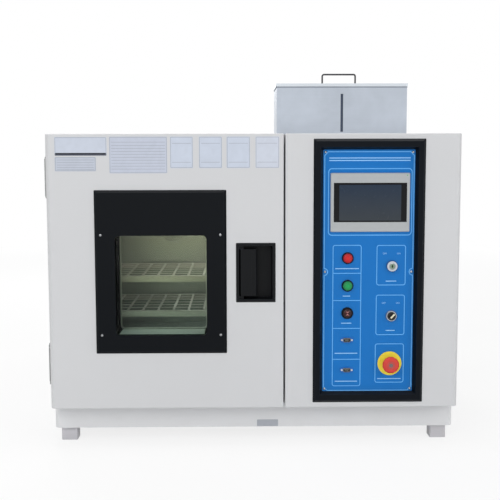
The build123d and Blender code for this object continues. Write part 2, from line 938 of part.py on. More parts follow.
def screen_case():
    """Touch screen: front frame proud of the plate, and the case behind it."""
    face = control_recess - screen_rise
    frame = tapered(screen_cx, screen_cz, face, control_recess,
                    (screen_width - 3, screen_height - 3), (screen_width, screen_height), 3, 3)
    back = block(screen_cx - screen_width / 2 + 6, screen_cx + screen_width / 2 - 6,
                 control_recess, control_recess + screen_depth,
                 screen_cz - screen_height / 2 + 6, screen_cz + screen_height / 2 - 6)
    for row in range(5):
        z = screen_cz - 30 + row * 15
        back -= block(screen_cx - 60, screen_cx + 60, control_recess + screen_depth - 2,
                      control_recess + screen_depth + 1, z, z + 5)
    case = frame + back
    glass = Pos(screen_cx, screen_cz) * Rectangle(screen_glass_width, screen_glass_height)
    return case - sheet_at(face - 1, screen_glass_thickness + 1 + 0.6, glass)


def screen_glass():
    face = control_recess - screen_rise + 0.6
    glass = Pos(screen_cx, screen_cz) * Rectangle(screen_glass_width, screen_glass_height)
    return sheet_at(face, screen_glass_thickness, glass)


def device_body(cx, cz, collar_radius, collar_height, bore, bore_depth):
    """Panel device: collar in front of the plate, threaded barrel, nut and contact block behind."""
    back = control_recess + plate_thickness
    face = control_recess
    body = turned(cx, face, cz, [(0, 0), (collar_radius, 0), (collar_radius, -collar_height * 0.5),
                                 (collar_radius - 2, -collar_height), (0, -collar_height)])
    body += rod_y(cx, cz, body_radius, face, back + body_depth * 0.55)
    nut = Pos(cx, cz) * RegularPolygon(14.5, 6)
    body += sheet_at(back, 4, nut)
    body += block(cx - 14, cx + 14, back + body_depth * 0.5, back + body_depth, cz - 12, cz + 12)
    return body - rod_y(cx, cz, bore, face - collar_height - 1, face + bore_depth)


def lamp_bodies():
    return [device_body(lamp_cx, z, lamp_collar_radius, lamp_collar_height, lamp_lens_radius, -lens_seat)
            for z in lamp_levels()]


def lamp_lens(z, rise):
    """Domed lens seated in the bottom of its collar's bore."""
    depth = control_recess - lens_seat
    height = lamp_collar_height - lens_seat + rise
    radius = lamp_lens_radius
    return turned(lamp_cx, depth, z, [(0, 0), (radius, 0), (radius, -height + 3), (radius - 1, -height + 1),
                                      (radius - 4.5, -height), (0, -height)])


def lamp_lens_red():
    return lamp_lens(lamp_levels()[0], 4.0)


def lamp_lens_green():
    return lamp_lens(lamp_levels()[1], 4.0)


def buzzer_cap():
    """Sound cap: lens form with a ring of sound slots."""
    z = lamp_levels()[2]
    cap = lamp_lens(z, 2.0)
    for turn in range(0, 180, 60):
        slot = Pos(lamp_cx, behind(control_recess - 7), z) * Rot(0, turn + 30, 0) * Box(13, 2.6, 1.6)
        cap -= slot
    return cap


def switch_bodies():
    key = device_body(switch_cx, key_cz, switch_radius, switch_height,
                      key_radius + running_clearance, barrel_seat)
    selector = device_body(switch_cx, selector_cz, switch_radius, selector_height,
                           knob_radius + running_clearance, barrel_seat)
    stop = device_body(stop_cx, stop_cz, stop_collar_radius, stop_collar_height,
                       stop_stem_radius + running_clearance, stop_bore)
    return [key, selector, stop]


def key_barrel():
    """Lock cylinder with its key way."""
    depth = control_recess + barrel_seat - barrel_gap
    length = barrel_seat - barrel_gap + switch_height + 1.0
    barrel = turned(switch_cx, depth, key_cz, [(0, 0), (key_radius, 0), (key_radius, -length + 1),
                                               (key_radius - 1, -length), (0, -length)])
    way = Pos(switch_cx, behind(depth - length + 3), key_cz) * Box(2.2, 10, 9)
    return barrel - way


def selector_knob():
    """Round knob with a raised bar grip; it rests with the bar pointing up to the right."""
    depth = control_recess + barrel_seat - barrel_gap
    length = barrel_seat - barrel_gap + selector_height + 2
    knob = turned(switch_cx, depth, selector_cz, [(0, 0), (knob_radius, 0), (knob_radius, -length),
                                                  (0, -length)])
    bar = Pos(switch_cx, behind(depth - length - 3.5), selector_cz) * Rot(0, 45, 0) * Box(6, 7.5, 17)
    grip = fillet(bar.edges().group_by(Axis.Y)[0], 1.2)
    return knob + grip


def stop_plate_depth():
    return control_recess - stop_disc_thickness


def estop_plate():
    disc = Pos(stop_cx, stop_cz) * (Circle(stop_disc_radius) - Circle(stop_collar_radius))
    return sheet_at(stop_plate_depth(), stop_disc_thickness, disc)


def estop_plunger():
    """Stem that carries the head and slides in the stop's barrel."""
    top = control_recess - stop_head_front + 5
    stem = rod_y(stop_cx, stop_cz, stop_stem_radius, top + stop_journal, control_recess + stop_stem_end)
    return stem + rod_y(stop_cx, stop_cz, stop_journal_radius, top, top + stop_journal)


def estop_head():
    """Mushroom head, turned, with grip flutes on its rim and a bore for the stem's journal."""
    front = control_recess - stop_head_front
    radius = stop_head_radius
    back = front + stop_head_height
    profile = [(0, front), (radius * 0.55, front), (radius * 0.86, front + 1.6), (radius, front + 4.6),
               (radius, front + 6.5), (radius - 3, front + 8.5), (radius * 0.62, back), (0, back)]
    head = turned(stop_cx, 0, stop_cz, profile)
    top = front + 5
    head -= rod_y(stop_cx, stop_cz, stop_journal_radius + running_clearance,
                  top - running_clearance, top + stop_journal + 1)
    head -= rod_y(stop_cx, stop_cz, stop_stem_radius + running_clearance,
                  top + stop_journal - barrel_gap, back + 1)
    for index in range(12):
        angle = math.radians(index * 30)
        x = stop_cx + (radius + 1.2) * math.cos(angle)
        z = stop_cz + (radius + 1.2) * math.sin(angle)
        head -= rod_y(x, z, 2.0, front - 1, back + 1)
    return head


def data_ports():
    """Two flanged data sockets, each with a hollow shell and two jack screws."""
    solids = []
    for z in port_levels():
        face = control_recess - 1.5
        flange = rounded(port_cx, z, port_width, port_height, 2)
        shell = rounded(port_cx, z, port_width * 0.55, port_height - 3.5, 3)
        body = sheet_at(face, 1.5, flange)
        body += sheet_at(face - 3, 3 + 1.5 + 12, shell)
        body -= sheet_at(face - 4, 9, rounded(port_cx, z, port_width * 0.55 - 2, port_height - 5.5, 2))
        for side in (-1, 1):
            body += rod_y(port_cx + side * port_width * 0.39, z, 2.2, face - 3, face)
        solids.append(body)
    return solids


# Water tank

def tank_box(inset, z0, z1):
    return block(tank_left + inset, tank_right - inset, tank_setback + inset,
                 tank_setback + tank_depth - inset, z0, z1)


def water_tank():
    """Open box of folded sheet with a level slot in its front."""
    tank = tank_box(0, body_top, tank_top) - tank_box(tank_wall, body_top + tank_wall, tank_top + 1)
    tank -= block(tank_x - slot_width / 2, tank_x + slot_width / 2, tank_setback - 1,
                  tank_setback + tank_wall + 1, body_top + slot_bottom, tank_top - slot_top)
    return tank - rod_z(feed_x(), feed_depth(), body_top - 1, body_top + 3, feed_radius)


def sight_strip():
    """Level strip behind the slot."""
    z0 = body_top + slot_bottom
    strip = block(tank_x - sight_width / 2, tank_x + sight_width / 2, tank_setback + tank_wall,
                  tank_setback + tank_wall + sight_thickness, z0 - 6, z0 + slot_height + 6)
    return strip + block(tank_x - slot_width / 2, tank_x + slot_width / 2, tank_setback + 0.4,
                         tank_setback + tank_wall, z0, z0 + slot_height)


def tank_lid():
    """Lift-off lid with a turned-down rim, resting on the tank's top edge, and its wire handle."""
    reach = lid_gap + tank_wall
    lid = tank_box(-reach, tank_top - lid_skirt + tank_wall, tank_top + tank_wall)
    lid -= tank_box(-lid_gap, tank_top - lid_skirt - 1, tank_top)
    return lid


def lid_handle():
    top = tank_top + tank_wall
    half = lid_handle_width / 2 - lid_rod_radius
    depth = tank_setback + tank_depth / 2
    y = behind(depth)
    grip = top + lid_handle_height - lid_rod_radius
    path = FilletPolyline((tank_x - half, y, top), (tank_x - half, y, grip),
                          (tank_x + half, y, grip), (tank_x + half, y, top), radius=lid_rod_bend)
    wire = along(path, Circle(lid_rod_radius))
    for side in (-1, 1):
        wire += rod_z(tank_x + side * half, depth, top, top + 1.5, lid_rod_radius + 2.5)
    return wire


def water_pipes():
    """Feed pipe from the tank to the humidifier pan, and the drain out through the rear."""
    feed = along(feed_path(), Circle(feed_radius - 0.5))
    drain = along(drain_path(), Circle(drain_radius))
    drain += rod_y(chamber_x, drain_z(), stub_radius, cabinet_depth, cabinet_depth + stub_length)
    drain -= along(drain_path(), Circle(stub_bore))
    drain -= rod_y(chamber_x, drain_z(), stub_bore, cabinet_depth - 5, cabinet_depth + stub_length + 1)
    return [feed, drain]


# Chamber fittings

def shelf_rails():
    """Angle rails on both chamber walls, one pair for each shelf."""
    solids = []
    for level in shelf_levels:
        for side in (-1, 1):
            wall_x = chamber_x + side * chamber_width / 2
            x0, x1 = sorted((wall_x, wall_x - side * rail_width))
            z = level - shelf_plate
            rail = block(x0, x1, plug_tip + 12, baffle_depth - 20, z - rail_thickness, z)
            x2, x3 = sorted((wall_x, wall_x - side * rail_thickness))
            rail += block(x2, x3, plug_tip + 12, baffle_depth - 20, z - 14, z)
            solids.append(rail)
    return solids


def shelf(level):
    """Perforated tray with turned-down front and rear lips, resting on its rails."""
    half = chamber_width / 2 - rail_thickness - rail_gap
    x0, x1 = chamber_x - half, chamber_x + half
    rear = baffle_depth - 25
    tray = block(x0, x1, shelf_front, rear, level - shelf_plate, level)
    inner = chamber_width / 2 - rail_width - rail_gap
    for d0 in (shelf_front, rear - shelf_plate):
        tray += block(chamber_x - inner, chamber_x + inner, d0, d0 + shelf_plate, level - shelf_lip, level)
    pitch_x = 2 * (inner - 8) / shelf_columns
    pitch_y = (rear - shelf_front - 24) / shelf_rows
    for column in range(shelf_columns):
        for row in range(shelf_rows):
            x = chamber_x - inner + 8 + (column + 0.5) * pitch_x
            d = shelf_front + 12 + (row + 0.5) * pitch_y
            tray -= block(x - pitch_x / 2 + 3, x + pitch_x / 2 - 3, d - pitch_y / 2 + 3.5,
                          d + pitch_y / 2 - 3.5, level - 3, level + 1)
    return tray


def air_baffle():
    """Rear duct wall with a ring grille in front of the blower and air slots low down."""
    wide = chamber_width - 1
    plate = Pos(chamber_x, middle_z) * RectangleRounded(wide, chamber_height - 1, liner_radius)
    for index in range(inlet_rings):
        outer = inlet_radius - index * 13.0
        ring = Circle(outer) - Circle(outer - 8.0)
        for turn in (0, 60, 120):
            ring -= Rot(0, 0, turn) * Rectangle(2 * inlet_radius + 2, 5.0)
        plate -= Pos(chamber_x, blower_z) * ring
    for side in (-1, 1):
        for row in range(9):
            slot = Rectangle(36, 7)
            plate -= Pos(chamber_x + side * (chamber_width / 2 - 35), middle_z - 150 + row * 24) * slot
    return sheet_at(baffle_depth, 1.5, plate)


def blower_wheel():
    """Centrifugal wheel: back plate, front ring and forward-curved blades on a hub."""
    d0 = baffle_depth + 12
    d1 = d0 + blower_width
    wheel = rod_y(chamber_x, blower_z, blower_radius, d1 - 2, d1)
    wheel += rod_y(chamber_x, blower_z, blower_radius, d0, d0 + 2)
    wheel -= rod_y(chamber_x, blower_z, blower_radius - 14, d0 - 1, d0 + 3)
    wheel += rod_y(chamber_x, blower_z, 12, d1 - 16, d1 + 6)
    inner, outer = blower_radius - 13, blower_radius - 0.5
    start = Vector(inner, 0)
    end = Vector(outer * math.cos(0.16), outer * math.sin(0.16))
    edge = ThreePointArc(start, (start + end) * 0.5 + Vector(0.4, -2.2), end)
    other = ThreePointArc(end + Vector(-0.5, blade_thickness), (start + end) * 0.5
                          + Vector(0.2, -2.2 + blade_thickness), start + Vector(-0.4, blade_thickness))
    outline = make_face([edge, Line(edge @ 1, other @ 0), other, Line(other @ 1, edge @ 0)])
    for index in range(blower_blades):
        blade = Rot(0, 0, index * 360.0 / blower_blades) * outline
        wheel += sheet_at(d0 + 1, blower_width - 2, Pos(chamber_x, blower_z) * blade)
    return wheel - rod_y(chamber_x, blower_z, shaft_radius, d1 - 17, d1 + 7)


def blower_shaft():
    d0 = baffle_depth + 12 + blower_width - 15
    return rod_y(chamber_x, blower_z, shaft_radius, d0, motor_depth + motor_length - 4)


def blower_motor():
    """Motor behind the foam: flange, finned drum and end cover, bored for the shaft."""
    d0 = motor_depth
    motor = rod_y(chamber_x, blower_z, motor_radius, d0 + 4, d0 + motor_length)
    motor = fillet(motor.edges().sort_by(Axis.Y)[-1], 6)
    motor += rod_y(chamber_x, blower_z, motor_radius + 9, d0, d0 + 4)
    for index in range(5):
        groove_depth = d0 + 10 + index * 6.5
        groove = rod_y(chamber_x, blower_z, motor_radius + 5, groove_depth, groove_depth + 3)
        motor -= groove - rod_y(chamber_x, blower_z, motor_radius - 4, groove_depth - 1, groove_depth + 4)
    return motor - rod_y(chamber_x, blower_z, shaft_radius + running_clearance, d0 - 1,
                         d0 + motor_length - 3)


def serpentine(cx, depth, z0, width, rows, pitch, radius):
    """Bent tube that runs to and fro across the duct."""
    half = width / 2
    points = []
    for row in range(rows):
        z = z0 + row * pitch
        side = -1 if row % 2 == 0 else 1
        points.append((cx + side * half, behind(depth), z))
        points.append((cx - side * half, behind(depth), z))
    return along(FilletPolyline(*points, radius=pitch * 0.42), Circle(radius))


def evaporator():
    """Cooling coil low in the duct: a serpentine tube through pressed fins."""
    depth = baffle_depth + 30.0
    z0 = liner_bottom + 78.0
    width = chamber_width - 70.0
    coil = serpentine(chamber_x, depth, z0, width, coil_rows, coil_pitch, coil_rod)
    high = z0 + (coil_rows - 1) * coil_pitch
    for index in range(11):
        x = chamber_x - (width - 40) / 2 + index * (width - 40) / 10
        coil += block(x - 0.6, x + 0.6, baffle_depth + 1.5, depth + 14, z0 - 9, high + 9)
    return coil


def heater():
    """Bare heater rod bent to and fro behind the coil, held by two clips on the liner's rear wall."""
    depth = liner_rear - 14.0
    z0 = liner_bottom + 90.0
    width = chamber_width - 110.0
    rod = serpentine(chamber_x, depth, z0, width, 4, 28.0, heater_rod)
    for side in (-1, 1):
        x = chamber_x + side * width * 0.3
        rod += block(x - 3, x + 3, depth, liner_rear, z0 - 8, z0 + 3 * 28.0 + 8)
    return rod


def humidifier_pan():
    """Shallow water pan on the duct's floor with its own heating loop."""
    x0, x1 = liner_left + liner_radius + 20, liner_right - liner_radius - 4
    d0, d1 = baffle_depth + 8, drain_depth() - 12
    pan = block(x0, x1, d0, d1, liner_bottom, liner_bottom + 32)
    pan -= block(x0 + 1.5, x1 - 1.5, d0 + 1.5, d1 - 1.5, liner_bottom + 1.5, liner_bottom + 33)
    middle = (d0 + d1) / 2
    loop = rod_x(x0 + 1, x1 - 14, middle - 8, liner_bottom + 9, 3) + \
        rod_x(x0 + 1, x1 - 14, middle + 8, liner_bottom + 9, 3)
    loop += block(x1 - 17, x1 - 12, middle - 9, middle + 9, liner_bottom + 6, liner_bottom + 12)
    return pan + loop


def chamber_lamp():
    """Round bulkhead lamp on the chamber's right wall."""
    depth, z = 170.0, liner_top - 50.0
    x = liner_right
    body = rod_x(x - 6, x, depth, z, 27)
    dome = rod_x(x - 20, x - 5, depth, z, 22)
    dome = fillet(dome.edges().sort_by(Axis.X)[0], 9)
    return body + dome


def sensor_probes():
    """Dry-bulb and wet-bulb probes standing out of the right wall."""
    solids = []
    for depth in (baffle_depth - 110.0, baffle_depth - 78.0):
        z = liner_top - 60.0
        probe = rod_x(liner_right - 90, liner_right, depth, z, 3)
        probe = fillet(probe.edges().sort_by(Axis.X)[0], 2.5)
        solids.append(probe + rod_x(liner_right - 12, liner_right, depth, z, 8))
    return solids


# Machine compartment

def compressor():
    """Hermetic pot on three rubber-footed brackets, with its stub pipes."""
    x, depth = pot_cx, pot_depth
    floor = body_bottom + sheet
    pot = rod_z(x, depth, floor + 22, floor + 22 + pot_height, pot_radius)
    pot = fillet(pot.edges().filter_by(GeomType.CIRCLE).group_by(Axis.Z)[-1], 40)
    pot = fillet(pot.edges().filter_by(GeomType.CIRCLE).group_by(Axis.Z)[0], 18)
    seam_z = floor + 22 + pot_height * 0.5
    pot += rod_z(x, depth, seam_z - 3, seam_z + 3, pot_radius + 4)
    for turn in (30, 150, 270):
        angle = math.radians(turn)
        fx = x + (pot_radius + 8) * math.cos(angle)
        fd = depth + (pot_radius + 8) * math.sin(angle)
        arm = Pos(x, behind(depth), floor + 24) * Rot(0, 0, turn) * Pos(pot_radius * 0.6, 0, 0)
        pot += arm * Box(pot_radius * 1.1, 30, 4)
        pot += rod_z(fx, fd, floor, floor + 30, 10)
    pot += rod_z(x + 40, depth, floor + pot_height - 30, floor + pot_height + 40, 5)
    return pot


def condenser():
    """Finned block with end plates, standing on the base behind the louvres, and its fan shroud."""
    x0, x1 = condenser_x, condenser_x + condenser_thickness
    d0, d1 = condenser_front, condenser_front + condenser_depth
    z0, z1 = condenser_z, condenser_z + condenser_height
    core = None
    pitch = condenser_depth / condenser_fins
    for index in range(condenser_fins + 1):
        d = d0 + index * pitch
        fin = block(x0, x1, d - 0.8, d + 0.8, z0, z1)
        core = fin if core is None else core + fin
    for row in range(5):
        z = z0 + (row + 0.5) * condenser_height / 5
        core += rod_y((x0 + x1) / 2, z, 5, d0 - 6, d1 + 6)
    for d in (d0, d1):
        core += block(x0 - 4, x1 + 4, d - 1.5, d + 1.5, body_bottom + sheet, z1 + 4)
    shroud = block(x0 - shroud_depth, x0 - 4, d0 - 1.5, d1 + 1.5, z0 - 6, z1 + 6)
    shroud -= block(x0 - shroud_depth + sheet, x0 + 1, d0, d1, z0 - 4.5, z1 + 4.5)
    shroud -= rod_x(x0 - shroud_depth - 10, x0 - 20, fan_depth, fan_z, fan_radius + 5)
    arm_z = fan_z
    motor_x = fan_motor_x()
    motor = rod_x(motor_x, motor_x + fan_motor_length, fan_depth, arm_z, fan_motor_radius)
    motor = fillet(motor.edges().sort_by(Axis.X)[0], 5)
    motor -= rod_x(motor_x + 6, motor_x + fan_motor_length + 1, fan_depth, arm_z,
                   shaft_radius + running_clearance)
    for side in (-1, 1):
        low, high = sorted((arm_z + side * 26, arm_z + side * (fan_radius + 12)))
        motor += block(motor_x + 12, motor_x + 18, fan_depth - 8, fan_depth + 8, low, high)
        low, high = sorted((arm_z + side * (fan_radius + 7), arm_z + side * (fan_radius + 12)))
        motor += block(motor_x + 12, x0 - shroud_depth, fan_depth - 8, fan_depth + 8, low, high)
    return [core, shroud + motor]


def fan_x():
    return condenser_x - shroud_depth


def fan_motor_x():
    return fan_x() - fan_width / 2 - 5 - fan_motor_length


def condenser_fan():
    """Five-bladed fan: pitched blades with a swept edge on a round hub, and its shaft."""
    x = fan_x()
    hub = rod_x(x - fan_width / 2, x + fan_width / 2, fan_depth, fan_z, fan_hub_radius)
    hub = fillet(hub.edges().sort_by(Axis.X)[-1], 6)
    centre = Pos(x, behind(fan_depth), fan_z)
    for index in range(fan_blades):
        sections = []
        for radius, pitch, chord in ((fan_hub_radius - 4, 38, 34), (fan_radius * 0.62, 30, 52),
                                     (fan_radius - 3, 22, 60)):
            plane = Plane(origin=(0, 0, radius), x_dir=(0, 1, 0), z_dir=(0, 0, 1))
            sections.append(plane * Rot(0, 0, pitch) * RectangleRounded(chord, 2.2, 1.0))
        blade = loft(sections)
        hub += centre * Rot(index * 360.0 / fan_blades, 0, 0) * blade
    tail = fan_motor_x() + 8
    return hub + rod_x(tail, x, fan_depth, fan_z, shaft_radius)


def control_gear():
    """Mounting plate on the chamber's wall with a rail, contactors, relays and a power supply."""
    x = partition_x
    plate = block(x, x + 2, 110, 400, middle_z - 30, body_top - 60)
    solids = []
    for level in (middle_z + 20, middle_z + 150):
        plate += block(x + 2, x + 9, 125, 385, level - 17, level + 17)
    solids.append(plate)
    for index in range(4):
        d = 130 + index * 52
        unit = block(x + 9, x + 84, d, d + 46, middle_z - 18, middle_z + 58)
        unit -= block(x + 70, x + 90, d + 6, d + 40, middle_z + 30, middle_z + 46)
        solids.append(unit)
    supply = block(x + 9, x + 70, 130, 240, middle_z + 110, middle_z + 190)
    for index in range(6):
        supply -= block(x + 66, x + 80, 138, 232, middle_z + 118 + index * 11, middle_z + 122 + index * 11)
    solids.append(supply)
    strip = block(x + 9, x + 42, 255, 380, middle_z + 128, middle_z + 172)
    for index in range(10):
        strip -= block(x + 34, x + 50, 258 + index * 12, 264 + index * 12, middle_z + 140, middle_z + 160)
    solids.append(strip)
    return solids


def power_inlet():
    """Cable gland in the rear panel: hexagon body, dome nut and bore."""
    x, z = gland_x(), drain_z()
    body = rod_y(x, z, 9.0, cabinet_depth - 12, cabinet_depth)
    body += sheet_at(cabinet_depth - sheet - 5, 5, Pos(x, z) * RegularPolygon(15, 6))
    body += sheet_at(cabinet_depth, 7, Pos(x, z) * RegularPolygon(15, 6))
    dome = rod_y(x, z, 12, cabinet_depth + 6, cabinet_depth + 20)
    dome = fillet(dome.edges().sort_by(Axis.Y)[-1], 3.5)
    body += dome
    return body - rod_y(x, z, 5.5, cabinet_depth - 20, cabinet_depth + 30)


nodes = {
    "base_pan": base_pan,
    "side_panel_left": side_panel_left,
    "side_panel_right": side_panel_right,
    "top_panel": top_panel,
    "rear_panel": rear_panel,
    "feet": feet,
    "chamber_insulation": chamber_insulation,
    "chamber_liner": chamber_liner,
    "cable_port_sleeve": cable_port_sleeve,
    "cable_port_plug": cable_port_plug,
    "door_shell": door_shell,
    "door_inner_panel": door_inner_panel,
    "door_insulation": door_insulation,
    "door_gasket": door_gasket,
    "window_bezel": window_bezel,
    "bezel_screws": bezel_screws,
    "window_panes": window_panes,
    "handle_housing": handle_housing,
    "handle_lever": handle_lever,
    "latch_bolt": latch_bolt,
    "strike_plate": strike_plate,
    "hinge_cabinet_leaves": hinge_cabinet_leaves,
    "hinge_door_leaves": hinge_door_leaves,
    "control_cover": control_cover,
    "control_bezel": control_bezel,
    "control_plate": control_plate,
    "panel_screws": panel_screws,
    "screen_case": screen_case,
    "screen_glass": screen_glass,
    "lamp_bodies": lamp_bodies,
    "lamp_lens_red": lamp_lens_red,
    "lamp_lens_green": lamp_lens_green,
    "buzzer_cap": buzzer_cap,
    "switch_bodies": switch_bodies,
    "key_barrel": key_barrel,
    "selector_knob": selector_knob,
    "estop_plate": estop_plate,
    "estop_plunger": estop_plunger,
    "estop_head": estop_head,
    "data_ports": data_ports,
    "water_tank": water_tank,
    "sight_strip": sight_strip,
    "tank_lid": lambda: [tank_lid(), lid_handle()],
    "water_pipes": water_pipes,
    "shelf_rails": shelf_rails,
    "shelf_upper": lambda: shelf(shelf_levels[0]),
    "shelf_lower": lambda: shelf(shelf_levels[1]),
    "air_baffle": air_baffle,
    "blower_wheel": lambda: [blower_wheel(), blower_shaft()],
    "blower_motor": blower_motor,
    "evaporator": evaporator,
    "heater": heater,
    "humidifier_pan": humidifier_pan,
    "chamber_lamp": chamber_lamp,
    "sensor_probes": sensor_probes,
    "compressor": compressor,
    "condenser": condenser,
    "condenser_fan": condenser_fan,
    "control_gear": control_gear,
    "power_inlet": power_inlet,
}

for name, build in nodes.items():
    shape = build()
    if isinstance(shape, list):
        shape = Compound(children=[solid for piece in shape for solid in piece.solids()])
    shape.label = name
    export_step(shape, f"parts/{name}.step")
    print(name)
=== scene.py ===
import json
import math

import bpy
import bmesh
from mathutils import Matrix, Vector


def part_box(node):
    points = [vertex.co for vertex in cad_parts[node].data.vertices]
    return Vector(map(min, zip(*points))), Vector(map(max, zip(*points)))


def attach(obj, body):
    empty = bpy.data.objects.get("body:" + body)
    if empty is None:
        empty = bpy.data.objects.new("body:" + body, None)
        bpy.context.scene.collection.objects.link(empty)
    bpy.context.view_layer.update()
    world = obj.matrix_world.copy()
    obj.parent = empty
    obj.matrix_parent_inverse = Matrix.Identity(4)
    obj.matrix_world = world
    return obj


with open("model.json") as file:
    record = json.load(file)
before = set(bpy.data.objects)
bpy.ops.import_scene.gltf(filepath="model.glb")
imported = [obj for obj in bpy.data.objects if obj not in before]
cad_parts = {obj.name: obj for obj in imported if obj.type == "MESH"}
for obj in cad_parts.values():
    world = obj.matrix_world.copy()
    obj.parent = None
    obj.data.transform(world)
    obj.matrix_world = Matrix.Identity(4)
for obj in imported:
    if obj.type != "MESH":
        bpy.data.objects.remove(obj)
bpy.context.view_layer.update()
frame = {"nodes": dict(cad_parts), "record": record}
scene = bpy.context.scene
mm = 0.001
frontY = -0.325          # the door's front plane


def at(x, depth, z):
    # a point from millimetres: across, behind the door's front, above the floor
    return Vector((x * mm, frontY + depth * mm, z * mm))


def rgb(red, green, blue):
    # colour as it shows on screen, 0 to 255, turned linear for the shader
    def linear(value):
        value /= 255.0
        return value / 12.92 if value <= 0.04045 else ((value + 0.055) / 1.055) ** 2.4
    return (linear(red), linear(green), linear(blue), 1.0)


# small helpers for node trees

def feed(tree, socket, value):
    # another node's socket is linked, anything else is a plain value
    if isinstance(value, bpy.types.NodeSocket):
        tree.links.new(value, socket)
    else:
        socket.default_value = value


def node(tree, kind, inputs=None, **settings):
    made = tree.nodes.new(kind)
    for key, value in settings.items():
        setattr(made, key, value)
    for key, value in (inputs or {}).items():
        feed(tree, made.inputs[key], value)
    return made


def maths(tree, operation, first, second=0.0, clamp=False):
    inputs = {0: first, 1: second}
    return node(tree, "ShaderNodeMath", inputs, operation=operation, use_clamp=clamp).outputs[0]


def vectorMaths(tree, operation, first, second=(0.0, 0.0, 0.0)):
    made = node(tree, "ShaderNodeVectorMath", {0: first, 1: second}, operation=operation)
    return made.outputs["Value" if operation in ("DOT_PRODUCT", "LENGTH") else "Vector"]


def mixColours(tree, factor, first, second, blend="MIX"):
    # the mix node's colour sockets are 6 and 7, and its colour comes out of 2
    inputs = {0: factor, 6: first, 7: second}
    return node(tree, "ShaderNodeMix", inputs, data_type="RGBA", blend_type=blend).outputs[2]


def spread(tree, value, low, high, toLow, toHigh):
    inputs = {"Value": value, "From Min": low, "From Max": high, "To Min": toLow, "To Max": toHigh}
    return node(tree, "ShaderNodeMapRange", inputs).outputs[0]


def swing(tree, value, amount):
    # how far a value from 0 to 1 lies off its middle, times the amount
    return maths(tree, "MULTIPLY", maths(tree, "SUBTRACT", value, 0.5), amount)


def noise(tree, vector, scale, detail, roughness=0.5, distortion=0.0):
    inputs = {"Vector": vector, "Scale": scale, "Detail": detail, "Roughness": roughness,
              "Distortion": distortion}
    return node(tree, "ShaderNodeTexNoise", inputs).outputs[0]


def cells(tree, vector, scale):
    return node(tree, "ShaderNodeTexVoronoi", {"Vector": vector, "Scale": scale}).outputs[0]


def relief(tree, strength, distance, height):
    inputs = {"Strength": strength, "Distance": distance, "Height": height}
    return node(tree, "ShaderNodeBump", inputs).outputs[0]


def objectCoords(tree):
    return node(tree, "ShaderNodeTexCoord").outputs["Object"]


def axesOf(tree, vector):
    return node(tree, "ShaderNodeSeparateXYZ", {0: vector}).outputs


def newGroup(name, inputs, outputs):
    tree = bpy.data.node_groups.new(name, "ShaderNodeTree")
    kinds = {float: "NodeSocketFloat", tuple: "NodeSocketColor", Vector: "NodeSocketVector"}
    for socketName, value in inputs.items():
        socket = tree.interface.new_socket(name=socketName, in_out="INPUT", socket_type=kinds[type(value)])
        socket.default_value = value
    for socketName, kind in outputs.items():
        tree.interface.new_socket(name=socketName, in_out="OUTPUT", socket_type=kinds[kind])
    return tree, tree.nodes.new("NodeGroupInput").outputs, tree.nodes.new("NodeGroupOutput").inputs


def place(tree, groupName, values):
    made = tree.nodes.new("ShaderNodeGroup")
    made.node_tree = bpy.data.node_groups[groupName]
    for key, value in values.items():
        feed(tree, made.inputs[key], value)
    return made.outputs


# shared surface effects

skinOutputs = {"Color": tuple, "Roughness": float, "Normal": Vector}
reliefDepth = {"paint": 0.00006, "metal": 0.00004, "plastic": 0.00005}       # metres


def closeSkin(tree, given, out, tone, rough, normal):
    # what every skin gives: its colour times the tone, its roughness and its relief
    grey = node(tree, "ShaderNodeCombineColor", {0: tone, 1: tone, 2: tone}).outputs[0]
    tree.links.new(mixColours(tree, 1.0, given["Color"], grey, "MULTIPLY"), out["Color"])
    tree.links.new(maths(tree, "ADD", given["Roughness"], rough, True), out["Roughness"])
    tree.links.new(normal, out["Normal"])


def buildPaintSkin():
    # sprayed powder coat: slow change of tone, fine peel in the surface
    tree, given, out = newGroup("paintSkin", {
        "Color": (0.6, 0.6, 0.6, 1.0), "Tone Spread": 0.03, "Peel Scale": 900.0, "Peel Height": 0.25,
        "Roughness": 0.4, "Roughness Spread": 0.06}, skinOutputs)
    coords = objectCoords(tree)
    slow = noise(tree, coords, scale=3.5, detail=4.0)
    middle = noise(tree, coords, scale=60.0, detail=3.0)
    fine = noise(tree, coords, scale=given["Peel Scale"], detail=2.0)
    grain = swing(tree, fine, maths(tree, "MULTIPLY", given["Tone Spread"], 0.6))
    tone = maths(tree, "ADD", swing(tree, slow, given["Tone Spread"]), 1.0)
    tone = maths(tree, "ADD", tone, grain)
    peel = relief(tree, given["Peel Height"], reliefDepth["paint"], fine)
    closeSkin(tree, given, out, tone, swing(tree, middle, given["Roughness Spread"]), peel)


def buildBrushedMetal():
    # rolled and brushed sheet: long fine streaks with soft clouds over them
    tree, given, out = newGroup("brushedMetal", {
        "Color": (0.6, 0.6, 0.6, 1.0), "Streaks": Vector((6.0, 700.0, 700.0)), "Tone Spread": 0.12,
        "Cloud Spread": 0.1, "Roughness": 0.32, "Roughness Spread": 0.16, "Streak Height": 0.2}, skinOutputs)
    coords = objectCoords(tree)
    stretched = vectorMaths(tree, "MULTIPLY", coords, given["Streaks"])
    streak = noise(tree, stretched, scale=1.0, detail=5.0, roughness=0.7)
    cloud = noise(tree, coords, scale=9.0, detail=5.0, roughness=0.6, distortion=0.6)
    tone = swing(tree, streak, given["Tone Spread"])
    tone = maths(tree, "ADD", tone, swing(tree, cloud, given["Cloud Spread"]))
    tone = maths(tree, "ADD", tone, 1.0)
    lines = relief(tree, given["Streak Height"], reliefDepth["metal"], streak)
    closeSkin(tree, given, out, tone, swing(tree, streak, given["Roughness Spread"]), lines)


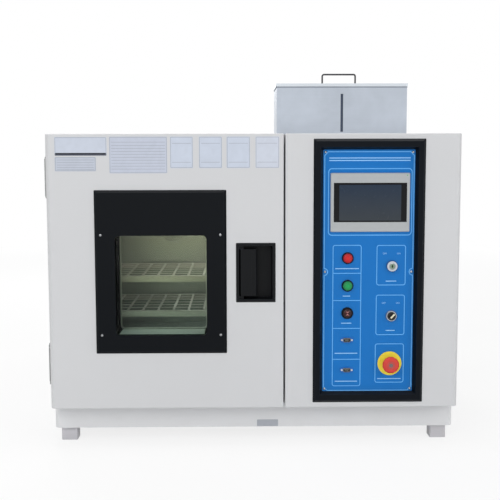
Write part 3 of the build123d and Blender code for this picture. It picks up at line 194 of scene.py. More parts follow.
def buildMouldedSkin():
    # moulded plastic or rubber: spark-eroded grain with faint flow marks
    tree, given, out = newGroup("mouldedSkin", {
        "Color": (0.1, 0.1, 0.1, 1.0), "Grain Scale": 1400.0, "Grain Height": 0.3, "Tone Spread": 0.08,
        "Roughness": 0.45}, skinOutputs)
    coords = objectCoords(tree)
    pits = cells(tree, coords, given["Grain Scale"])
    flow = noise(tree, coords, scale=40.0, detail=3.0, distortion=1.2)
    tone = maths(tree, "ADD", swing(tree, flow, given["Tone Spread"]), 1.0)
    grain = relief(tree, given["Grain Height"], reliefDepth["plastic"], pits)
    closeSkin(tree, given, out, tone, swing(tree, flow, 0.12), grain)


def buildEdgeWearAndHighlight():
    # paint or plating rubbed thin along edges, and a painted highlight on the same edges, lighter than the
    # face in most finishes; broken up so that it isn't an outline
    tree, given, out = newGroup("edgeWearAndHighlight", {
        "Color": (0.5, 0.5, 0.5, 1.0), "Wear And Highlight Color": (0.7, 0.7, 0.7, 1.0), "Width": 0.0012, "Amount": 0.5},
        {"Color": tuple})
    rounded = node(tree, "ShaderNodeBevel", {"Radius": given["Width"]}, samples=4).outputs[0]
    flat = node(tree, "ShaderNodeNewGeometry").outputs["Normal"]
    facing = vectorMaths(tree, "DOT_PRODUCT", rounded, flat)
    edge = spread(tree, facing, 0.995, 0.86, 0.0, 1.0)
    patchy = noise(tree, objectCoords(tree), scale=45.0, detail=6.0)
    mask = maths(tree, "MULTIPLY", edge, spread(tree, patchy, 0.38, 0.68, 0.15, 1.0))
    mask = maths(tree, "MULTIPLY", mask, given["Amount"], True)
    tree.links.new(mixColours(tree, mask, given["Color"], given["Wear And Highlight Color"]), out["Color"])


def buildSettledDust():
    # dust that lies on what faces up, and scuffs near the floor
    tree, given, out = newGroup("settledDust", {
        "Color": (0.5, 0.5, 0.5, 1.0), "Dust Color": (0.45, 0.43, 0.4, 1.0), "Amount": 0.25,
        "Scuff Height": 0.1}, {"Color": tuple})
    up = axesOf(tree, node(tree, "ShaderNodeNewGeometry").outputs["Normal"])[2]
    coords = objectCoords(tree)
    height = axesOf(tree, coords)[2]
    patchy = noise(tree, coords, scale=14.0, detail=8.0, roughness=0.65)
    lying = spread(tree, up, 0.5, 1.0, 0.0, 1.0)
    lying = maths(tree, "MULTIPLY", lying, spread(tree, patchy, 0.3, 0.75, 0.2, 1.0))
    scuffed = spread(tree, height, given["Scuff Height"], 0.0, 0.0, 0.6)
    scuffed = maths(tree, "MULTIPLY", scuffed, spread(tree, patchy, 0.42, 0.7, 0.0, 1.0))
    mask = maths(tree, "MULTIPLY", maths(tree, "MAXIMUM", lying, scuffed), given["Amount"], True)
    tree.links.new(mixColours(tree, mask, given["Color"], given["Dust Color"]), out["Color"])


def buildHandMarks():
    # wiped glass and gloss plastic: faint smears in the roughness
    tree, given, out = newGroup("handMarks", {"Roughness": 0.08, "Smear": 0.12, "Smear Scale": 11.0},
                                {"Roughness": float})
    smear = noise(tree, objectCoords(tree), scale=given["Smear Scale"], detail=5.0, distortion=2.5)
    smear = maths(tree, "MULTIPLY", spread(tree, smear, 0.48, 0.8, 0.0, 1.0), given["Smear"])
    tree.links.new(maths(tree, "ADD", given["Roughness"], smear, True), out["Roughness"])


for build in (buildPaintSkin, buildBrushedMetal, buildMouldedSkin, buildEdgeWearAndHighlight, buildSettledDust,
              buildHandMarks):
    build()
print("surface effects ready")


# finishes

def newFinish(name):
    material = bpy.data.materials.new(name)
    material.use_nodes = True
    return material, material.node_tree, material.node_tree.nodes["Principled BSDF"]


def setSockets(tree, shader, values):
    for key, value in values.items():
        feed(tree, shader.inputs[key], value)


def connect(tree, shader, skin, colour, values):
    # a skin's roughness and relief under the colour worked up from it, then the plain values
    setSockets(tree, shader, {"Base Color": colour, "Roughness": skin["Roughness"], "Normal": skin["Normal"]})
    setSockets(tree, shader, values)


def paintFinish(name, colour, rough=0.42, shine=0.5, rub=None, dust=0.2, peel=0.25, tone=0.03, edge=0.35):
    material, tree, shader = newFinish(name)
    skin = place(tree, "paintSkin", {"Color": colour, "Roughness": rough, "Peel Height": peel,
                                     "Tone Spread": tone})
    wornAndHighlit = place(tree, "edgeWearAndHighlight", {"Color": skin["Color"], "Wear And Highlight Color": rub or colour, "Amount": edge})
    dusted = place(tree, "settledDust", {"Color": wornAndHighlit["Color"], "Amount": dust})
    connect(tree, shader, skin, dusted["Color"], {"Specular IOR Level": shine})
    return material


def metalFinish(name, colour, rough=0.32, streaks=(6.0, 700.0, 700.0), tone=0.12, cloud=0.1, dust=0.0,
                height=0.2, rub=None):
    material, tree, shader = newFinish(name)
    skin = place(tree, "brushedMetal", {"Color": colour, "Roughness": rough, "Streaks": Vector(streaks),
                                        "Tone Spread": tone, "Cloud Spread": cloud, "Streak Height": height})
    colour = skin["Color"]
    if rub:
        colour = place(tree, "edgeWearAndHighlight", {"Color": colour, "Wear And Highlight Color": rub, "Amount": 0.6})["Color"]
    if dust:
        colour = place(tree, "settledDust", {"Color": colour, "Amount": dust, "Scuff Height": 0.0})["Color"]
    connect(tree, shader, skin, colour, {"Metallic": 1.0})
    return material


def plasticFinish(name, colour, rough=0.45, grain=0.3, shine=0.4, rub=None, edge=0.3, coat=0.0, tone=0.08):
    material, tree, shader = newFinish(name)
    skin = place(tree, "mouldedSkin", {"Color": colour, "Roughness": rough, "Grain Height": grain,
                                       "Tone Spread": tone})
    wornAndHighlit = place(tree, "edgeWearAndHighlight", {"Color": skin["Color"], "Wear And Highlight Color": rub or colour, "Amount": edge,
                                     "Width": 0.0008})
    connect(tree, shader, skin, wornAndHighlit["Color"], {"Specular IOR Level": shine, "Coat Weight": coat,
                                                  "Coat Roughness": 0.08})
    return material


def inkFinish(name, colour, rough=0.5):
    return plasticFinish(name, colour, rough=rough, grain=0.03, shine=0.2, tone=0.12, edge=0.0)


lensLook = {"ringPitch": 0.0017, "glowFull": 0.0035, "glowEnd": 0.0105, "ribDepth": 0.0003}      # metres


def lensFinish(name, colour, deep, centre):
    # ribbed lamp lens: rings round its own centre, brighter in the middle where the lamp sits
    material, tree, shader = newFinish(name)
    away = vectorMaths(tree, "SUBTRACT", objectCoords(tree), centre)
    radius = vectorMaths(tree, "LENGTH", vectorMaths(tree, "MULTIPLY", away, (1.0, 0.0, 1.0)))
    rings = maths(tree, "SINE", maths(tree, "MULTIPLY", radius, 2 * math.pi / lensLook["ringPitch"]))
    glow = spread(tree, radius, lensLook["glowFull"], lensLook["glowEnd"], 1.0, 0.0)
    marks = place(tree, "handMarks", {"Roughness": 0.14, "Smear": 0.1, "Smear Scale": 120.0})
    setSockets(tree, shader, {
        "Base Color": mixColours(tree, glow, deep, colour), "Roughness": marks["Roughness"],
        "Normal": relief(tree, 0.35, lensLook["ribDepth"], rings),
        "Emission Color": mixColours(tree, glow, (0, 0, 0, 1), colour), "Emission Strength": 0.03,
        "Subsurface Weight": 0.15, "Subsurface Scale": 0.004, "Coat Weight": 0.2, "Coat Roughness": 0.05,
        "Specular IOR Level": 0.25})
    return material


glassLook = {"top": (0.72, 0.73, 0.61, 1.0), "bottom": (0.63, 0.69, 0.65, 1.0), "lowZ": 0.26, "highZ": 0.53,
             "ior": 1.17, "lampTint": (0.8, 0.86, 0.8, 1.0)}


def glassFinish():
    # tempered pane with painted light in its tint, olive above and cooler below; clear to lamps so that the
    # chamber is lit through it
    material, tree, shader = newFinish("windowGlass")
    height = axesOf(tree, objectCoords(tree))[2]
    blendUp = spread(tree, height, glassLook["lowZ"], glassLook["highZ"], 0.0, 1.0)
    marks = place(tree, "handMarks", {"Roughness": 0.0, "Smear": 0.05})
    setSockets(tree, shader, {"Base Color": mixColours(tree, blendUp, glassLook["bottom"], glassLook["top"]),
                              "Roughness": marks["Roughness"], "Transmission Weight": 1.0,
                              "IOR": glassLook["ior"]})
    clear = node(tree, "ShaderNodeBsdfTransparent", {"Color": glassLook["lampTint"]}).outputs[0]
    path = node(tree, "ShaderNodeLightPath").outputs["Is Shadow Ray"]
    shown = node(tree, "ShaderNodeMixShader", {0: path, 1: shader.outputs[0], 2: clear}).outputs[0]
    tree.links.new(shown, tree.nodes["Material Output"].inputs["Surface"])
    return material


def foamFinish():
    # cut polyurethane foam: open cells over a slightly darker skin
    material, tree, shader = newFinish("cutFoam")
    coords = objectCoords(tree)
    pores = cells(tree, coords, 420.0)
    slow = noise(tree, coords, scale=12.0, detail=5.0)
    tint = mixColours(tree, slow, rgb(214, 200, 150), rgb(232, 222, 182))
    tint = mixColours(tree, spread(tree, pores, 0.0, 0.9, 0.35, 0.0), tint, rgb(170, 150, 100))
    setSockets(tree, shader, {"Base Color": tint, "Normal": relief(tree, 0.8, 0.0008, pores),
                              "Roughness": spread(tree, slow, 0.2, 0.8, 0.8, 0.98)})
    return material


lampCentres = {"red": at(227.1, 8, 464.3), "green": at(227.1, 8, 396.6), "buzzer": at(227.1, 8, 328.9)}
# the edge colours below are worn edges and, where lighter than their finish, a painted highlight; the feet's
# darker one is wear only
finishes = {
    "body_paint": paintFinish("bodyPaint", rgb(205, 206, 208), rough=0.4, shine=0.35, rub=rgb(222, 223, 225),
                              edge=0.4, dust=0.12),
    "foot_paint": paintFinish("footPaint", rgb(196, 195, 200), rough=0.5, rub=rgb(170, 168, 166), dust=0.4),
    "black_frame": paintFinish("blackFrame", rgb(8, 13, 20), rough=0.34, shine=0.1, rub=rgb(66, 72, 80),
                               edge=0.55, dust=0.03, peel=0.15, tone=0.25),
    "black_plastic": plasticFinish("blackPlastic", rgb(11, 13, 16), rough=0.4, shine=0.14,
                                   rub=rgb(78, 84, 92), edge=0.8),
    "blue_plate": paintFinish("bluePlate", rgb(6, 111, 190), rough=0.36, shine=0.25, rub=rgb(40, 130, 208),
                              dust=0.02, peel=0.1, tone=0.05),
    "screen_grey": plasticFinish("screenGrey", rgb(172, 176, 178), rough=0.46, rub=rgb(190, 193, 196)),
    "screen_dark": plasticFinish("screenDark", rgb(9, 11, 15), rough=0.12, grain=0.02, shine=0.12),
    "red_lens": lensFinish("redLens", rgb(202, 16, 24), rgb(168, 10, 18), lampCentres["red"]),
    "green_lens": lensFinish("greenLens", rgb(12, 154, 84), rgb(8, 122, 64), lampCentres["green"]),
    "dark_red": lensFinish("darkRedCap", rgb(60, 12, 20), rgb(28, 7, 12), lampCentres["buzzer"]),
    "stop_red": plasticFinish("stopRed", rgb(204, 52, 40), rough=0.36, grain=0.15, shine=0.4, coat=0.2,
                              rub=rgb(232, 120, 104), tone=0.12),
    "stop_yellow": plasticFinish("stopYellow", rgb(238, 218, 62), rough=0.42, grain=0.1,
                                 rub=rgb(248, 236, 130)),
    "stainless": metalFinish("stainless", rgb(186, 190, 190), rough=0.34, streaks=(9.0, 500.0, 500.0)),
    "stainless_tank": metalFinish("tankSteel", rgb(178, 185, 195), rough=0.36, streaks=(5.0, 5.0, 620.0),
                                  tone=0.1, cloud=0.34, dust=0.1, rub=rgb(214, 220, 228)),
    "zinc": metalFinish("zinc", rgb(140, 142, 142), rough=0.42, streaks=(60.0, 60.0, 60.0), tone=0.2,
                        rub=rgb(176, 178, 178)),
    "bright_ring": metalFinish("brightRing", rgb(172, 177, 184), rough=0.16, streaks=(200.0, 200.0, 200.0),
                               tone=0.06, cloud=0.04, height=0.05),
    "glass": glassFinish(),
    "sight": plasticFinish("sightStrip", rgb(52, 62, 80), rough=0.2, grain=0.04, shine=0.5),
    "silicone": plasticFinish("silicone", rgb(168, 168, 164), rough=0.7, grain=0.4, shine=0.25),
    "foam": foamFinish(),
    "copper": metalFinish("copper", rgb(206, 134, 98), rough=0.3, streaks=(40.0, 40.0, 40.0), tone=0.25,
                          cloud=0.3),
    "aluminium": metalFinish("aluminium", rgb(196, 199, 202), rough=0.38, streaks=(400.0, 400.0, 8.0)),
    "black_steel": paintFinish("blackEnamel", rgb(26, 26, 28), rough=0.22, shine=0.4, rub=rgb(70, 70, 72),
                               dust=0.3, tone=0.2),
    "grey_plastic": plasticFinish("greyPlastic", rgb(186, 188, 186), rough=0.5),
    "cream": plasticFinish("knobBlack", rgb(24, 24, 26), rough=0.35, shine=0.35, rub=rgb(70, 70, 72)),
    "lamp_glass": plasticFinish("frostedLamp", rgb(244, 241, 230), rough=0.35, grain=0.1, coat=0.4),
    "steel": metalFinish("machinedSteel", rgb(160, 162, 164), rough=0.3, streaks=(30.0, 300.0, 300.0)),
}


def dressFrame():
    for name, piece in frame["nodes"].items():
        for index, old in enumerate(piece.data.materials):
            slotName = old.name.split(".")[0]
            if slotName in finishes:
                piece.data.materials[index] = finishes[slotName]
            else:
                print("no finish for", name, old.name)


def refinish(name, finish):
    frame["nodes"][name].data.materials[0] = finish


windowFrameLook = {"tone": rgb(6, 10, 15), "rub": rgb(66, 72, 80), "tubeShadeTone": rgb(3, 3, 4),
                   "tubeDepth": 10.2, "gloss": 0.3}


def windowFrameFinish():
    # enamelled frame in front, and a flatter, darker black inside the tube between the panes: painted shade
    # in the recess
    look = windowFrameLook
    material, tree, shader = newFinish("windowFrame")
    skin = place(tree, "paintSkin", {"Color": look["tone"], "Roughness": 0.36, "Peel Height": 0.15,
                                     "Tone Spread": 0.25})
    wornAndHighlit = place(tree, "edgeWearAndHighlight", {"Color": skin["Color"], "Wear And Highlight Color": look["rub"], "Amount": 0.55})
    across = axesOf(tree, objectCoords(tree))[1]
    inside = maths(tree, "GREATER_THAN", across, frontY + look["tubeDepth"] * mm)
    gloss = maths(tree, "MULTIPLY", maths(tree, "SUBTRACT", 1.0, inside), look["gloss"])
    connect(tree, shader, skin, mixColours(tree, inside, wornAndHighlit["Color"], look["tubeShadeTone"]), {
        "Coat Weight": gloss, "Specular IOR Level": 0.0, "Coat Roughness": 0.34, "Coat IOR": 1.4})
    return material


def dressSpecials():
    shelfSteel = metalFinish("shelfSteel", rgb(232, 226, 226), rough=0.5, streaks=(9.0, 300.0, 300.0),
                             tone=0.1)
    for name in ("shelf_upper", "shelf_lower"):
        refinish(name, shelfSteel)
    # a little lighter than the body, because the base stands in shade
    refinish("base_pan", paintFinish("basePaint", rgb(220, 221, 223), rough=0.45, shine=0.35,
                                     rub=rgb(230, 231, 232), dust=0.2))
    refinish("panel_screws", finishes["bright_ring"])
    refinish("window_bezel", windowFrameFinish())


dressFrame()
dressSpecials()
print("frame dressed:", len(frame["nodes"]), "nodes")


# mesh helpers

def linkObject(name, data):
    made = bpy.data.objects.new(name, data)
    scene.collection.objects.link(made)
    return made


def meshPiece(name, work, body, finish):
    data = bpy.data.meshes.new(name)
    bmesh.ops.recalc_face_normals(work, faces=work.faces)
    work.to_mesh(data)
    work.free()
    piece = linkObject(name, data)
    data.materials.append(finish)
    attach(piece, body)


def roundedOutline(cx, cz, width, height, radius, steps=5):
    points = []
    corners = ((1, 1, 0), (-1, 1, 90), (-1, -1, 180), (1, -1, 270))
    for signX, signZ, start in corners:
        for step in range(steps + 1):
            angle = math.radians(start + 90.0 * step / steps)
            points.append((cx + signX * (width / 2 - radius) + radius * math.cos(angle),
                           cz + signZ * (height / 2 - radius) + radius * math.sin(angle)))
    return points


def boxOutline(xRange, zRange, radius, inset=0.0, steps=5):
    (x0, x1), (z0, z1) = xRange, zRange
    return roundedOutline((x0 + x1) / 2, (z0 + z1) / 2, x1 - x0 - inset, z1 - z0 - inset, radius, steps)


def circlePoints(cx, cz, radius, sides):
    turn = 2 * math.pi / sides
    return [(cx + radius * math.cos(i * turn), cz + radius * math.sin(i * turn)) for i in range(sides)]


def joinRings(work, rings):
    for first, second in zip(rings, rings[1:]):
        for i in range(len(first)):
            after = (i + 1) % len(first)
            work.faces.new((first[i], first[after], second[after], second[i]))


def capRings(work, rings):
    work.faces.new(rings[-1])
    work.faces.new(list(reversed(rings[0])))


def addPlate(work, outline, front, thickness, edge=0.0):
    # solid plate that faces the viewer, its front edge eased by a narrow bevel face
    cx = sum(x for x, z in outline) / len(outline)
    cz = sum(z for x, z in outline) / len(outline)
    reach = max(max(abs(x - cx) for x, z in outline), 1e-6)
    shrink = 1.0 - edge / reach
    rings = [[work.verts.new(at(x, front + thickness, z)) for x, z in outline],
             [work.verts.new(at(x, front + edge, z)) for x, z in outline]]
    if edge:
        inner = [(cx + (x - cx) * shrink, cz + (z - cz) * shrink) for x, z in outline]
        rings.append([work.verts.new(at(x, front, z)) for x, z in inner])
    joinRings(work, rings)
    capRings(work, rings)


def addDisc(work, cx, cz, radius, front, thickness, edge=0.0, sides=28):
    addPlate(work, circlePoints(cx, cz, radius, sides), front, thickness, edge)


def addBar(work, cx, cz, length, width, front, thickness, lean=0.0, edge=0.0):
    c, s = math.cos(math.radians(lean)), math.sin(math.radians(lean))
    outline = roundedOutline(0, 0, length, width, min(length, width) * 0.3, 3)
    addPlate(work, [(cx + x * c - z * s, cz + x * s + z * c) for x, z in outline], front, thickness, edge)


def addRibbon(work, points, width, front, height, closed=True):
    # printed line: a flat band of even width along a path
    count = len(points)
    inner, outer = [], []
    for index in range(count):
        here = Vector(points[index])
        back = Vector(points[index - 1]) if closed or index else here
        ahead = Vector(points[(index + 1) % count]) if closed or index < count - 1 else here
        first = (here - back).normalized() if (here - back).length > 1e-9 else (ahead - here).normalized()
        second = (ahead - here).normalized() if (ahead - here).length > 1e-9 else first
        side = Vector((-(first + second).y, (first + second).x)).normalized()
        lean = max(side.dot(Vector((-first.y, first.x))), 0.35)
        for store, sign in ((inner, 1), (outer, -1)):
            spot = here + side * (sign * width / 2 / lean)
            store.append([work.verts.new(at(spot.x, front - lift, spot.y)) for lift in (0.0, height)])
    for index in range(count if closed else count - 1):
        after = (index + 1) % count
        a, b, c, d = inner[index], inner[after], outer[after], outer[index]
        work.faces.new((a[1], b[1], c[1], d[1]))
        work.faces.new((a[0], b[0], b[1], a[1]))
        work.faces.new((c[0], d[0], d[1], c[1]))
    if not closed:
        for end in (0, count - 1):
            work.faces.new((inner[end][0], inner[end][1], outer[end][1], outer[end][0]))


# camera, lamps and room

viewPoint = {"x": -43.0, "depth": -2140.0, "z": 699.0, "yaw": -0.87, "pitch": -5.69, "roll": 0.12,
             "lens": 64.08}


def makeCamera():
    data = bpy.data.cameras.new("viewCamera")
    data.lens = viewPoint["lens"]
    data.sensor_width = 36.0
    camera = linkObject("viewCamera", data)
    turn = Matrix.Rotation(math.radians(viewPoint["yaw"]), 4, "Z")
    turn = turn @ Matrix.Rotation(math.radians(viewPoint["pitch"]), 4, "X")
    turn = turn @ Matrix.Rotation(math.radians(viewPoint["roll"]), 4, "Y")
    turn = turn @ Matrix.Rotation(math.radians(90.0), 4, "X")
    stand = at(viewPoint["x"], viewPoint["depth"], viewPoint["z"])
    camera.matrix_world = Matrix.Translation(stand) @ turn
    scene.camera = camera


# room lamps stand in metres, the chamber's lamp in millimetres as at() takes them
studio = {
    "sky": 0.5, "floorTones": (rgb(240, 240, 240), rgb(244, 244, 244)), "floorSize": 12.0,
    "floorDrop": 0.0005, "floorGlow": 0.8, "glowReach": (1.2, 5.0),
    "lamps": {
        "keyLamp": {"stand": (-1.5, -3.0, 2.3), "aim": (0.0, -0.3, 0.4), "size": (2.2, 2.2), "power": 41.0},
        "fillLamp": {"stand": (2.6, -2.4, 1.5), "aim": (0.1, -0.2, 0.4), "size": (1.6, 1.6), "power": 22.0},
        "lowLamp": {"stand": (0.2, -3.2, 0.35), "aim": (0.0, -0.3, 0.15), "size": (2.6, 0.5), "power": 3.0},
        "topLamp": {"stand": (0.0, -0.35, 2.5), "aim": (0.0, -0.3, 0.7), "size": (2.0, 0.5), "power": 15.0},
        "rearLamp": {"stand": (-0.9, 3.0, 2.2), "aim": (0.0, 0.3, 0.4), "size": (2.2, 2.2), "power": 46.0},
    },
    "chamberLamp": {"stand": (-170.0, 104.0, 612.0), "aim": (-190.0, 230.0, 300.0), "size": (0.26, 0.02),
                    "power": 0.9},
}


def areaLamp(name, stand, aim, size, power):
    data = bpy.data.lights.new(name, "AREA")
    data.shape = "RECTANGLE"
    data.size, data.size_y = size
    data.energy = power
    lamp = linkObject(name, data)
    lamp.location = stand
    lamp.rotation_mode = "QUATERNION"
    lamp.rotation_quaternion = (Vector(aim) - Vector(stand)).to_track_quat("-Z", "Y")


def seenRay(tree):
    # 1 for rays that show the room: from the camera, in a reflection, or through glass
    path = node(tree, "ShaderNodeLightPath").outputs
    seen = maths(tree, "MAXIMUM", path["Is Camera Ray"], path["Is Glossy Ray"])
    return maths(tree, "MAXIMUM", seen, path["Is Transmission Ray"])


def makeSky():
    world = bpy.data.worlds.new("paleRoom")
    scene.world = world
    world.use_nodes = True
    tree = world.node_tree
    tree.nodes.clear()
    strength = spread(tree, seenRay(tree), 0.0, 1.0, studio["sky"], 1.0)
    sky = node(tree, "ShaderNodeBackground", {"Color": (1.0, 1.0, 1.0, 1.0), "Strength": strength})
    out = node(tree, "ShaderNodeOutputWorld")
    tree.links.new(sky.outputs[0], out.inputs["Surface"])


def makeFloor():
    work = bmesh.new()
    bmesh.ops.create_grid(work, x_segments=8, y_segments=8, size=studio["floorSize"])
    data = bpy.data.meshes.new("studioFloor")
    work.to_mesh(data)
    work.free()
    floor = linkObject("studioFloor", data)
    floor.location.z = -studio["floorDrop"]
    material, tree, shader = newFinish("paleFloor")
    coords = objectCoords(tree)
    grain = spread(tree, noise(tree, coords, scale=2.0, detail=3.0), 0.3, 0.7, 0.0, 1.0)
    setSockets(tree, shader, {"Base Color": mixColours(tree, grain, *studio["floorTones"]),
                              "Roughness": 0.9, "Specular IOR Level": 0.1})
    glow = spread(tree, vectorMaths(tree, "LENGTH", coords), *studio["glowReach"], studio["floorGlow"], 1.0)
    white = node(tree, "ShaderNodeEmission", {"Color": (1.0, 1.0, 1.0, 1.0), "Strength": 1.0}).outputs[0]
    factor = maths(tree, "MULTIPLY", glow, seenRay(tree))
    shown = node(tree, "ShaderNodeMixShader", {0: factor, 1: shader.outputs[0], 2: white}).outputs[0]
    tree.links.new(shown, tree.nodes["Material Output"].inputs["Surface"])
    data.materials.append(material)


def makeLamps():
    for name, lamp in studio["lamps"].items():
        areaLamp(name, **lamp)
    inside = studio["chamberLamp"]
    areaLamp("chamberLampLight", at(*inside["stand"]), at(*inside["aim"]), inside["size"], inside["power"])


makeCamera()
makeSky()
makeFloor()
makeLamps()
scene.view_settings.view_transform = "Standard"
print("camera and room ready")


# places read from the frame

slotOf = {row["node"]: row["material_slot"] for row in frame["record"]["subparts"]}


def depthOf(y):
    # millimetres behind the door's front
    return (y - frontY) / mm


def frontDepth(slotName):
    # where the foremost node with this finish starts
    names = [name for name in frame["nodes"] if slotOf.get(name) == slotName]
    return min(depthOf(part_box(name)[0][1]) for name in names)


# door and base: blank plates with plain rules

doorPlates = {
    "front": -0.35, "thickness": 0.35, "edge": 0.12, "corner": 2.0,
    "frameInset": 3, "frameCorner": 1.2, "frameWidth": 0.9, "rowInset": 5, "rowWidth": 0.8, "rise": 0.06,
    "ruleTone": rgb(150, 156, 170), "squareRules": [742, 697],
    "plates": {
        "nameBlank": {"x": (-476, -352), "z": (713, 757.5), "tone": rgb(196, 203, 216), "rules": []},
        "ratingBlank": {"x": (-476, -378), "z": (676, 710), "tone": rgb(188, 194, 206),
                        "rules": [703, 697, 691, 685, 680]},
        "wideBlank": {"x": (-346, -208), "z": (671, 758), "tone": rgb(190, 196, 210),
                      "rules": [745, 737, 730, 723, 716, 709, 702, 695, 688, 681]},
        "squareBlankA": {"x": (-201, -146.5), "z": (683, 758), "tone": rgb(196, 204, 218)},
        "squareBlankB": {"x": (-132, -77), "z": (683, 758), "tone": rgb(196, 204, 218)},
        "squareBlankC": {"x": (-66, -10), "z": (683, 758), "tone": rgb(196, 204, 218)},
        "endBlank": {"x": (3, 60), "z": (683, 758), "tone": rgb(200, 206, 218)},
    },
}
nameFoot = {"x": -414, "z": 716.5, "length": 123, "width": 6.5, "rise": 0.05, "thickness": 0.2,
            "tone": rgb(40, 42, 52)}
baseTag = {"x": 33.5, "z": 43.5, "width": 53, "height": 17, "corner": 1.5, "front": 47.1, "thickness": 0.4,
           "edge": 0.12, "tone": rgb(168, 172, 180)}


def makeDoorPlates():
    look = doorPlates
    ink = inkFinish("labelInk", look["ruleTone"])
    for name, plate in look["plates"].items():
        work = bmesh.new()
        addPlate(work, boxOutline(plate["x"], plate["z"], look["corner"]), look["front"], look["thickness"],
                 look["edge"])
        finish = plasticFinish(name + "Film", plate["tone"], rough=0.4, grain=0.08, shine=0.35, tone=0.14)
        meshPiece(name, work, "door", finish)
        work = bmesh.new()
        outline = boxOutline(plate["x"], plate["z"], look["frameCorner"], look["frameInset"])
        addRibbon(work, outline, look["frameWidth"], look["front"], look["rise"])
        start, end = plate["x"][0] + look["rowInset"], plate["x"][1] - look["rowInset"]
        for z in plate.get("rules", look["squareRules"]):
            addRibbon(work, [(start, z), (end, z)], look["rowWidth"], look["front"], look["rise"], False)
        meshPiece(name + "Rules", work, "door", ink)


def makeNameFoot():
    look = nameFoot
    work = bmesh.new()
    addBar(work, look["x"], look["z"], look["length"], look["width"], doorPlates["front"] - look["rise"],
           look["thickness"])
    meshPiece("nameBlankFoot", work, "door", inkFinish("labelDark", look["tone"]))


def makeBaseTag():
    look = baseTag
    work = bmesh.new()
    outline = roundedOutline(look["x"], look["z"], look["width"], look["height"], look["corner"])
    addPlate(work, outline, look["front"], look["thickness"], look["edge"])
    finish = plasticFinish("baseTagFilm", look["tone"], rough=0.4, grain=0.08, tone=0.14)
    meshPiece("baseTag", work, "cabinet", finish)


makeDoorPlates()
makeNameFoot()
makeBaseTag()
print("blank plates on")


# window: spacer round the inner pane, and a sill strip under it that carries a painted reflection

spacer = {"x": -226, "z": 399.5, "width": 214, "height": 237, "corner": 8, "band": 2.4, "front": 81.3,
          "rise": 1.2, "tone": rgb(190, 196, 186)}
sill = {"z": 278.6, "depth": (14, 77), "sideGap": 2.6, "thickness": 0.9, "taper": 0.995,
        "tone": rgb(164, 176, 172)}


def makeSpacer():
    look = spacer
    work = bmesh.new()
    outline = roundedOutline(look["x"], look["z"], look["width"], look["height"], look["corner"])
    addRibbon(work, outline, look["band"], look["front"], look["rise"])
    finish = metalFinish("spacerMetal", look["tone"], rough=0.4, streaks=(90.0, 90.0, 90.0))
    meshPiece("windowSpacer", work, "door", finish)


def makeSill():
    # a thin strip on the floor of the window's tube, coloured as the reflection seen there: painted
    # reflection
    near, far = sill["depth"]
    half = spacer["width"] / 2 - sill["sideGap"]
    corners = [(-half, near), (half, near), (half, far), (-half, far)]
    work = bmesh.new()
    rings = [[work.verts.new(at(spacer["x"] + x * size, depth, z)) for x, depth in corners]
             for size, z in ((1.0, sill["z"] - sill["thickness"]), (sill["taper"], sill["z"]))]
    joinRings(work, rings)
    capRings(work, rings)
    finish = plasticFinish("sillReflectionPaint", sill["tone"], rough=0.3, grain=0.1, shine=0.5, tone=0.2)
    meshPiece("windowSillReflection", work, "door", finish)


makeSpacer()
makeSill()
print("window trim on")


# control plate: printed lines, plain bars, ON and OFF

panelPrint = {
    "front": 8.0, "rise": 0.08, "line": 2.1, "thinLine": 0.85, "tone": rgb(104, 178, 240),
    "border": {"x": (170, 386), "z": (136, 721.5), "cut": 9, "notch": 8.5, "middle": 430.5},
    "screenBox": {"x": (179.6, 381.3), "z": (520.3, 680.9), "corner": 8},
    "boxes": {"lampColumn": ((191.5, 260), (147.5, 495.5)), "keyBox": ((298.5, 368), (398, 495)),
              "selectorBox": ((298, 367), (275, 373)), "stopBox": ((297, 366.5), (156, 252))},
    "boxCorner": 5, "dividers": (427, 360, 291, 214), "dividerInset": 1,
}
panelBars = {
    "pale": rgb(150, 200, 242), "width": 2.0, "topWidth": 2.2,
    "bars": ((226, 438.5, 58), (225, 371, 18), (225, 304, 25), (225, 229, 56), (225.5, 159, 55),
             (333.5, 407.5, 26), (333, 285.5, 22), (331.5, 165, 58)),
    "topBars": ((279, 706.5, 196), (279, 700.5, 196)),
}
switchWords = {
    "words": (("OFF", 317.5, 473.2), ("ON", 351.5, 473.2), ("OFF", 316.5, 351.6), ("ON", 350.5, 351.6)),
    "size": 5.6, "halfThickness": 0.05, "rise": 0.06,
}


def borderPath():
    # corners cut off, and a half-round notch in the middle of each side
    look = panelPrint["border"]
    (x0, x1), (z0, z1) = look["x"], look["z"]
    cut, notch, middle = look["cut"], look["notch"], look["middle"]
    turns = [math.radians(angle) for angle in range(0, 181, 20)]
    points = [(x0 + cut, z0), (x1 - cut, z0), (x1, z0 + cut)]
    points += [(x1 - notch * math.sin(turn), middle - notch * math.cos(turn)) for turn in turns]
    points += [(x1, z1 - cut), (x1 - cut, z1), (x0 + cut, z1), (x0, z1 - cut)]
    points += [(x0 + notch * math.sin(turn), middle + notch * math.cos(turn)) for turn in turns]
    return points + [(x0, z0 + cut)]


def makePanelLines():
    look = panelPrint
    front, rise, line = look["front"], look["rise"], look["line"]
    thin = line * look["thinLine"]
    work = bmesh.new()
    addRibbon(work, borderPath(), line, front, rise)
    screen = look["screenBox"]
    addRibbon(work, boxOutline(screen["x"], screen["z"], screen["corner"]), line, front, rise)
    for xRange, zRange in look["boxes"].values():
        addRibbon(work, boxOutline(xRange, zRange, look["boxCorner"]), thin, front, rise)
    x0, x1 = look["boxes"]["lampColumn"][0]
    for z in look["dividers"]:
        ends = [(x0 + look["dividerInset"], z), (x1 - look["dividerInset"], z)]
        addRibbon(work, ends, thin, front, rise, False)
    meshPiece("panelLines", work, "cabinet", inkFinish("panelInk", look["tone"]))


def makePanelBars(paleInk):
    front, rise = panelPrint["front"], panelPrint["rise"]
    work = bmesh.new()
    for rows, width in (("bars", "width"), ("topBars", "topWidth")):
        for x, z, length in panelBars[rows]:
            addBar(work, x, z, length, panelBars[width], front - rise, rise)
    meshPiece("captionBars", work, "cabinet", paleInk)


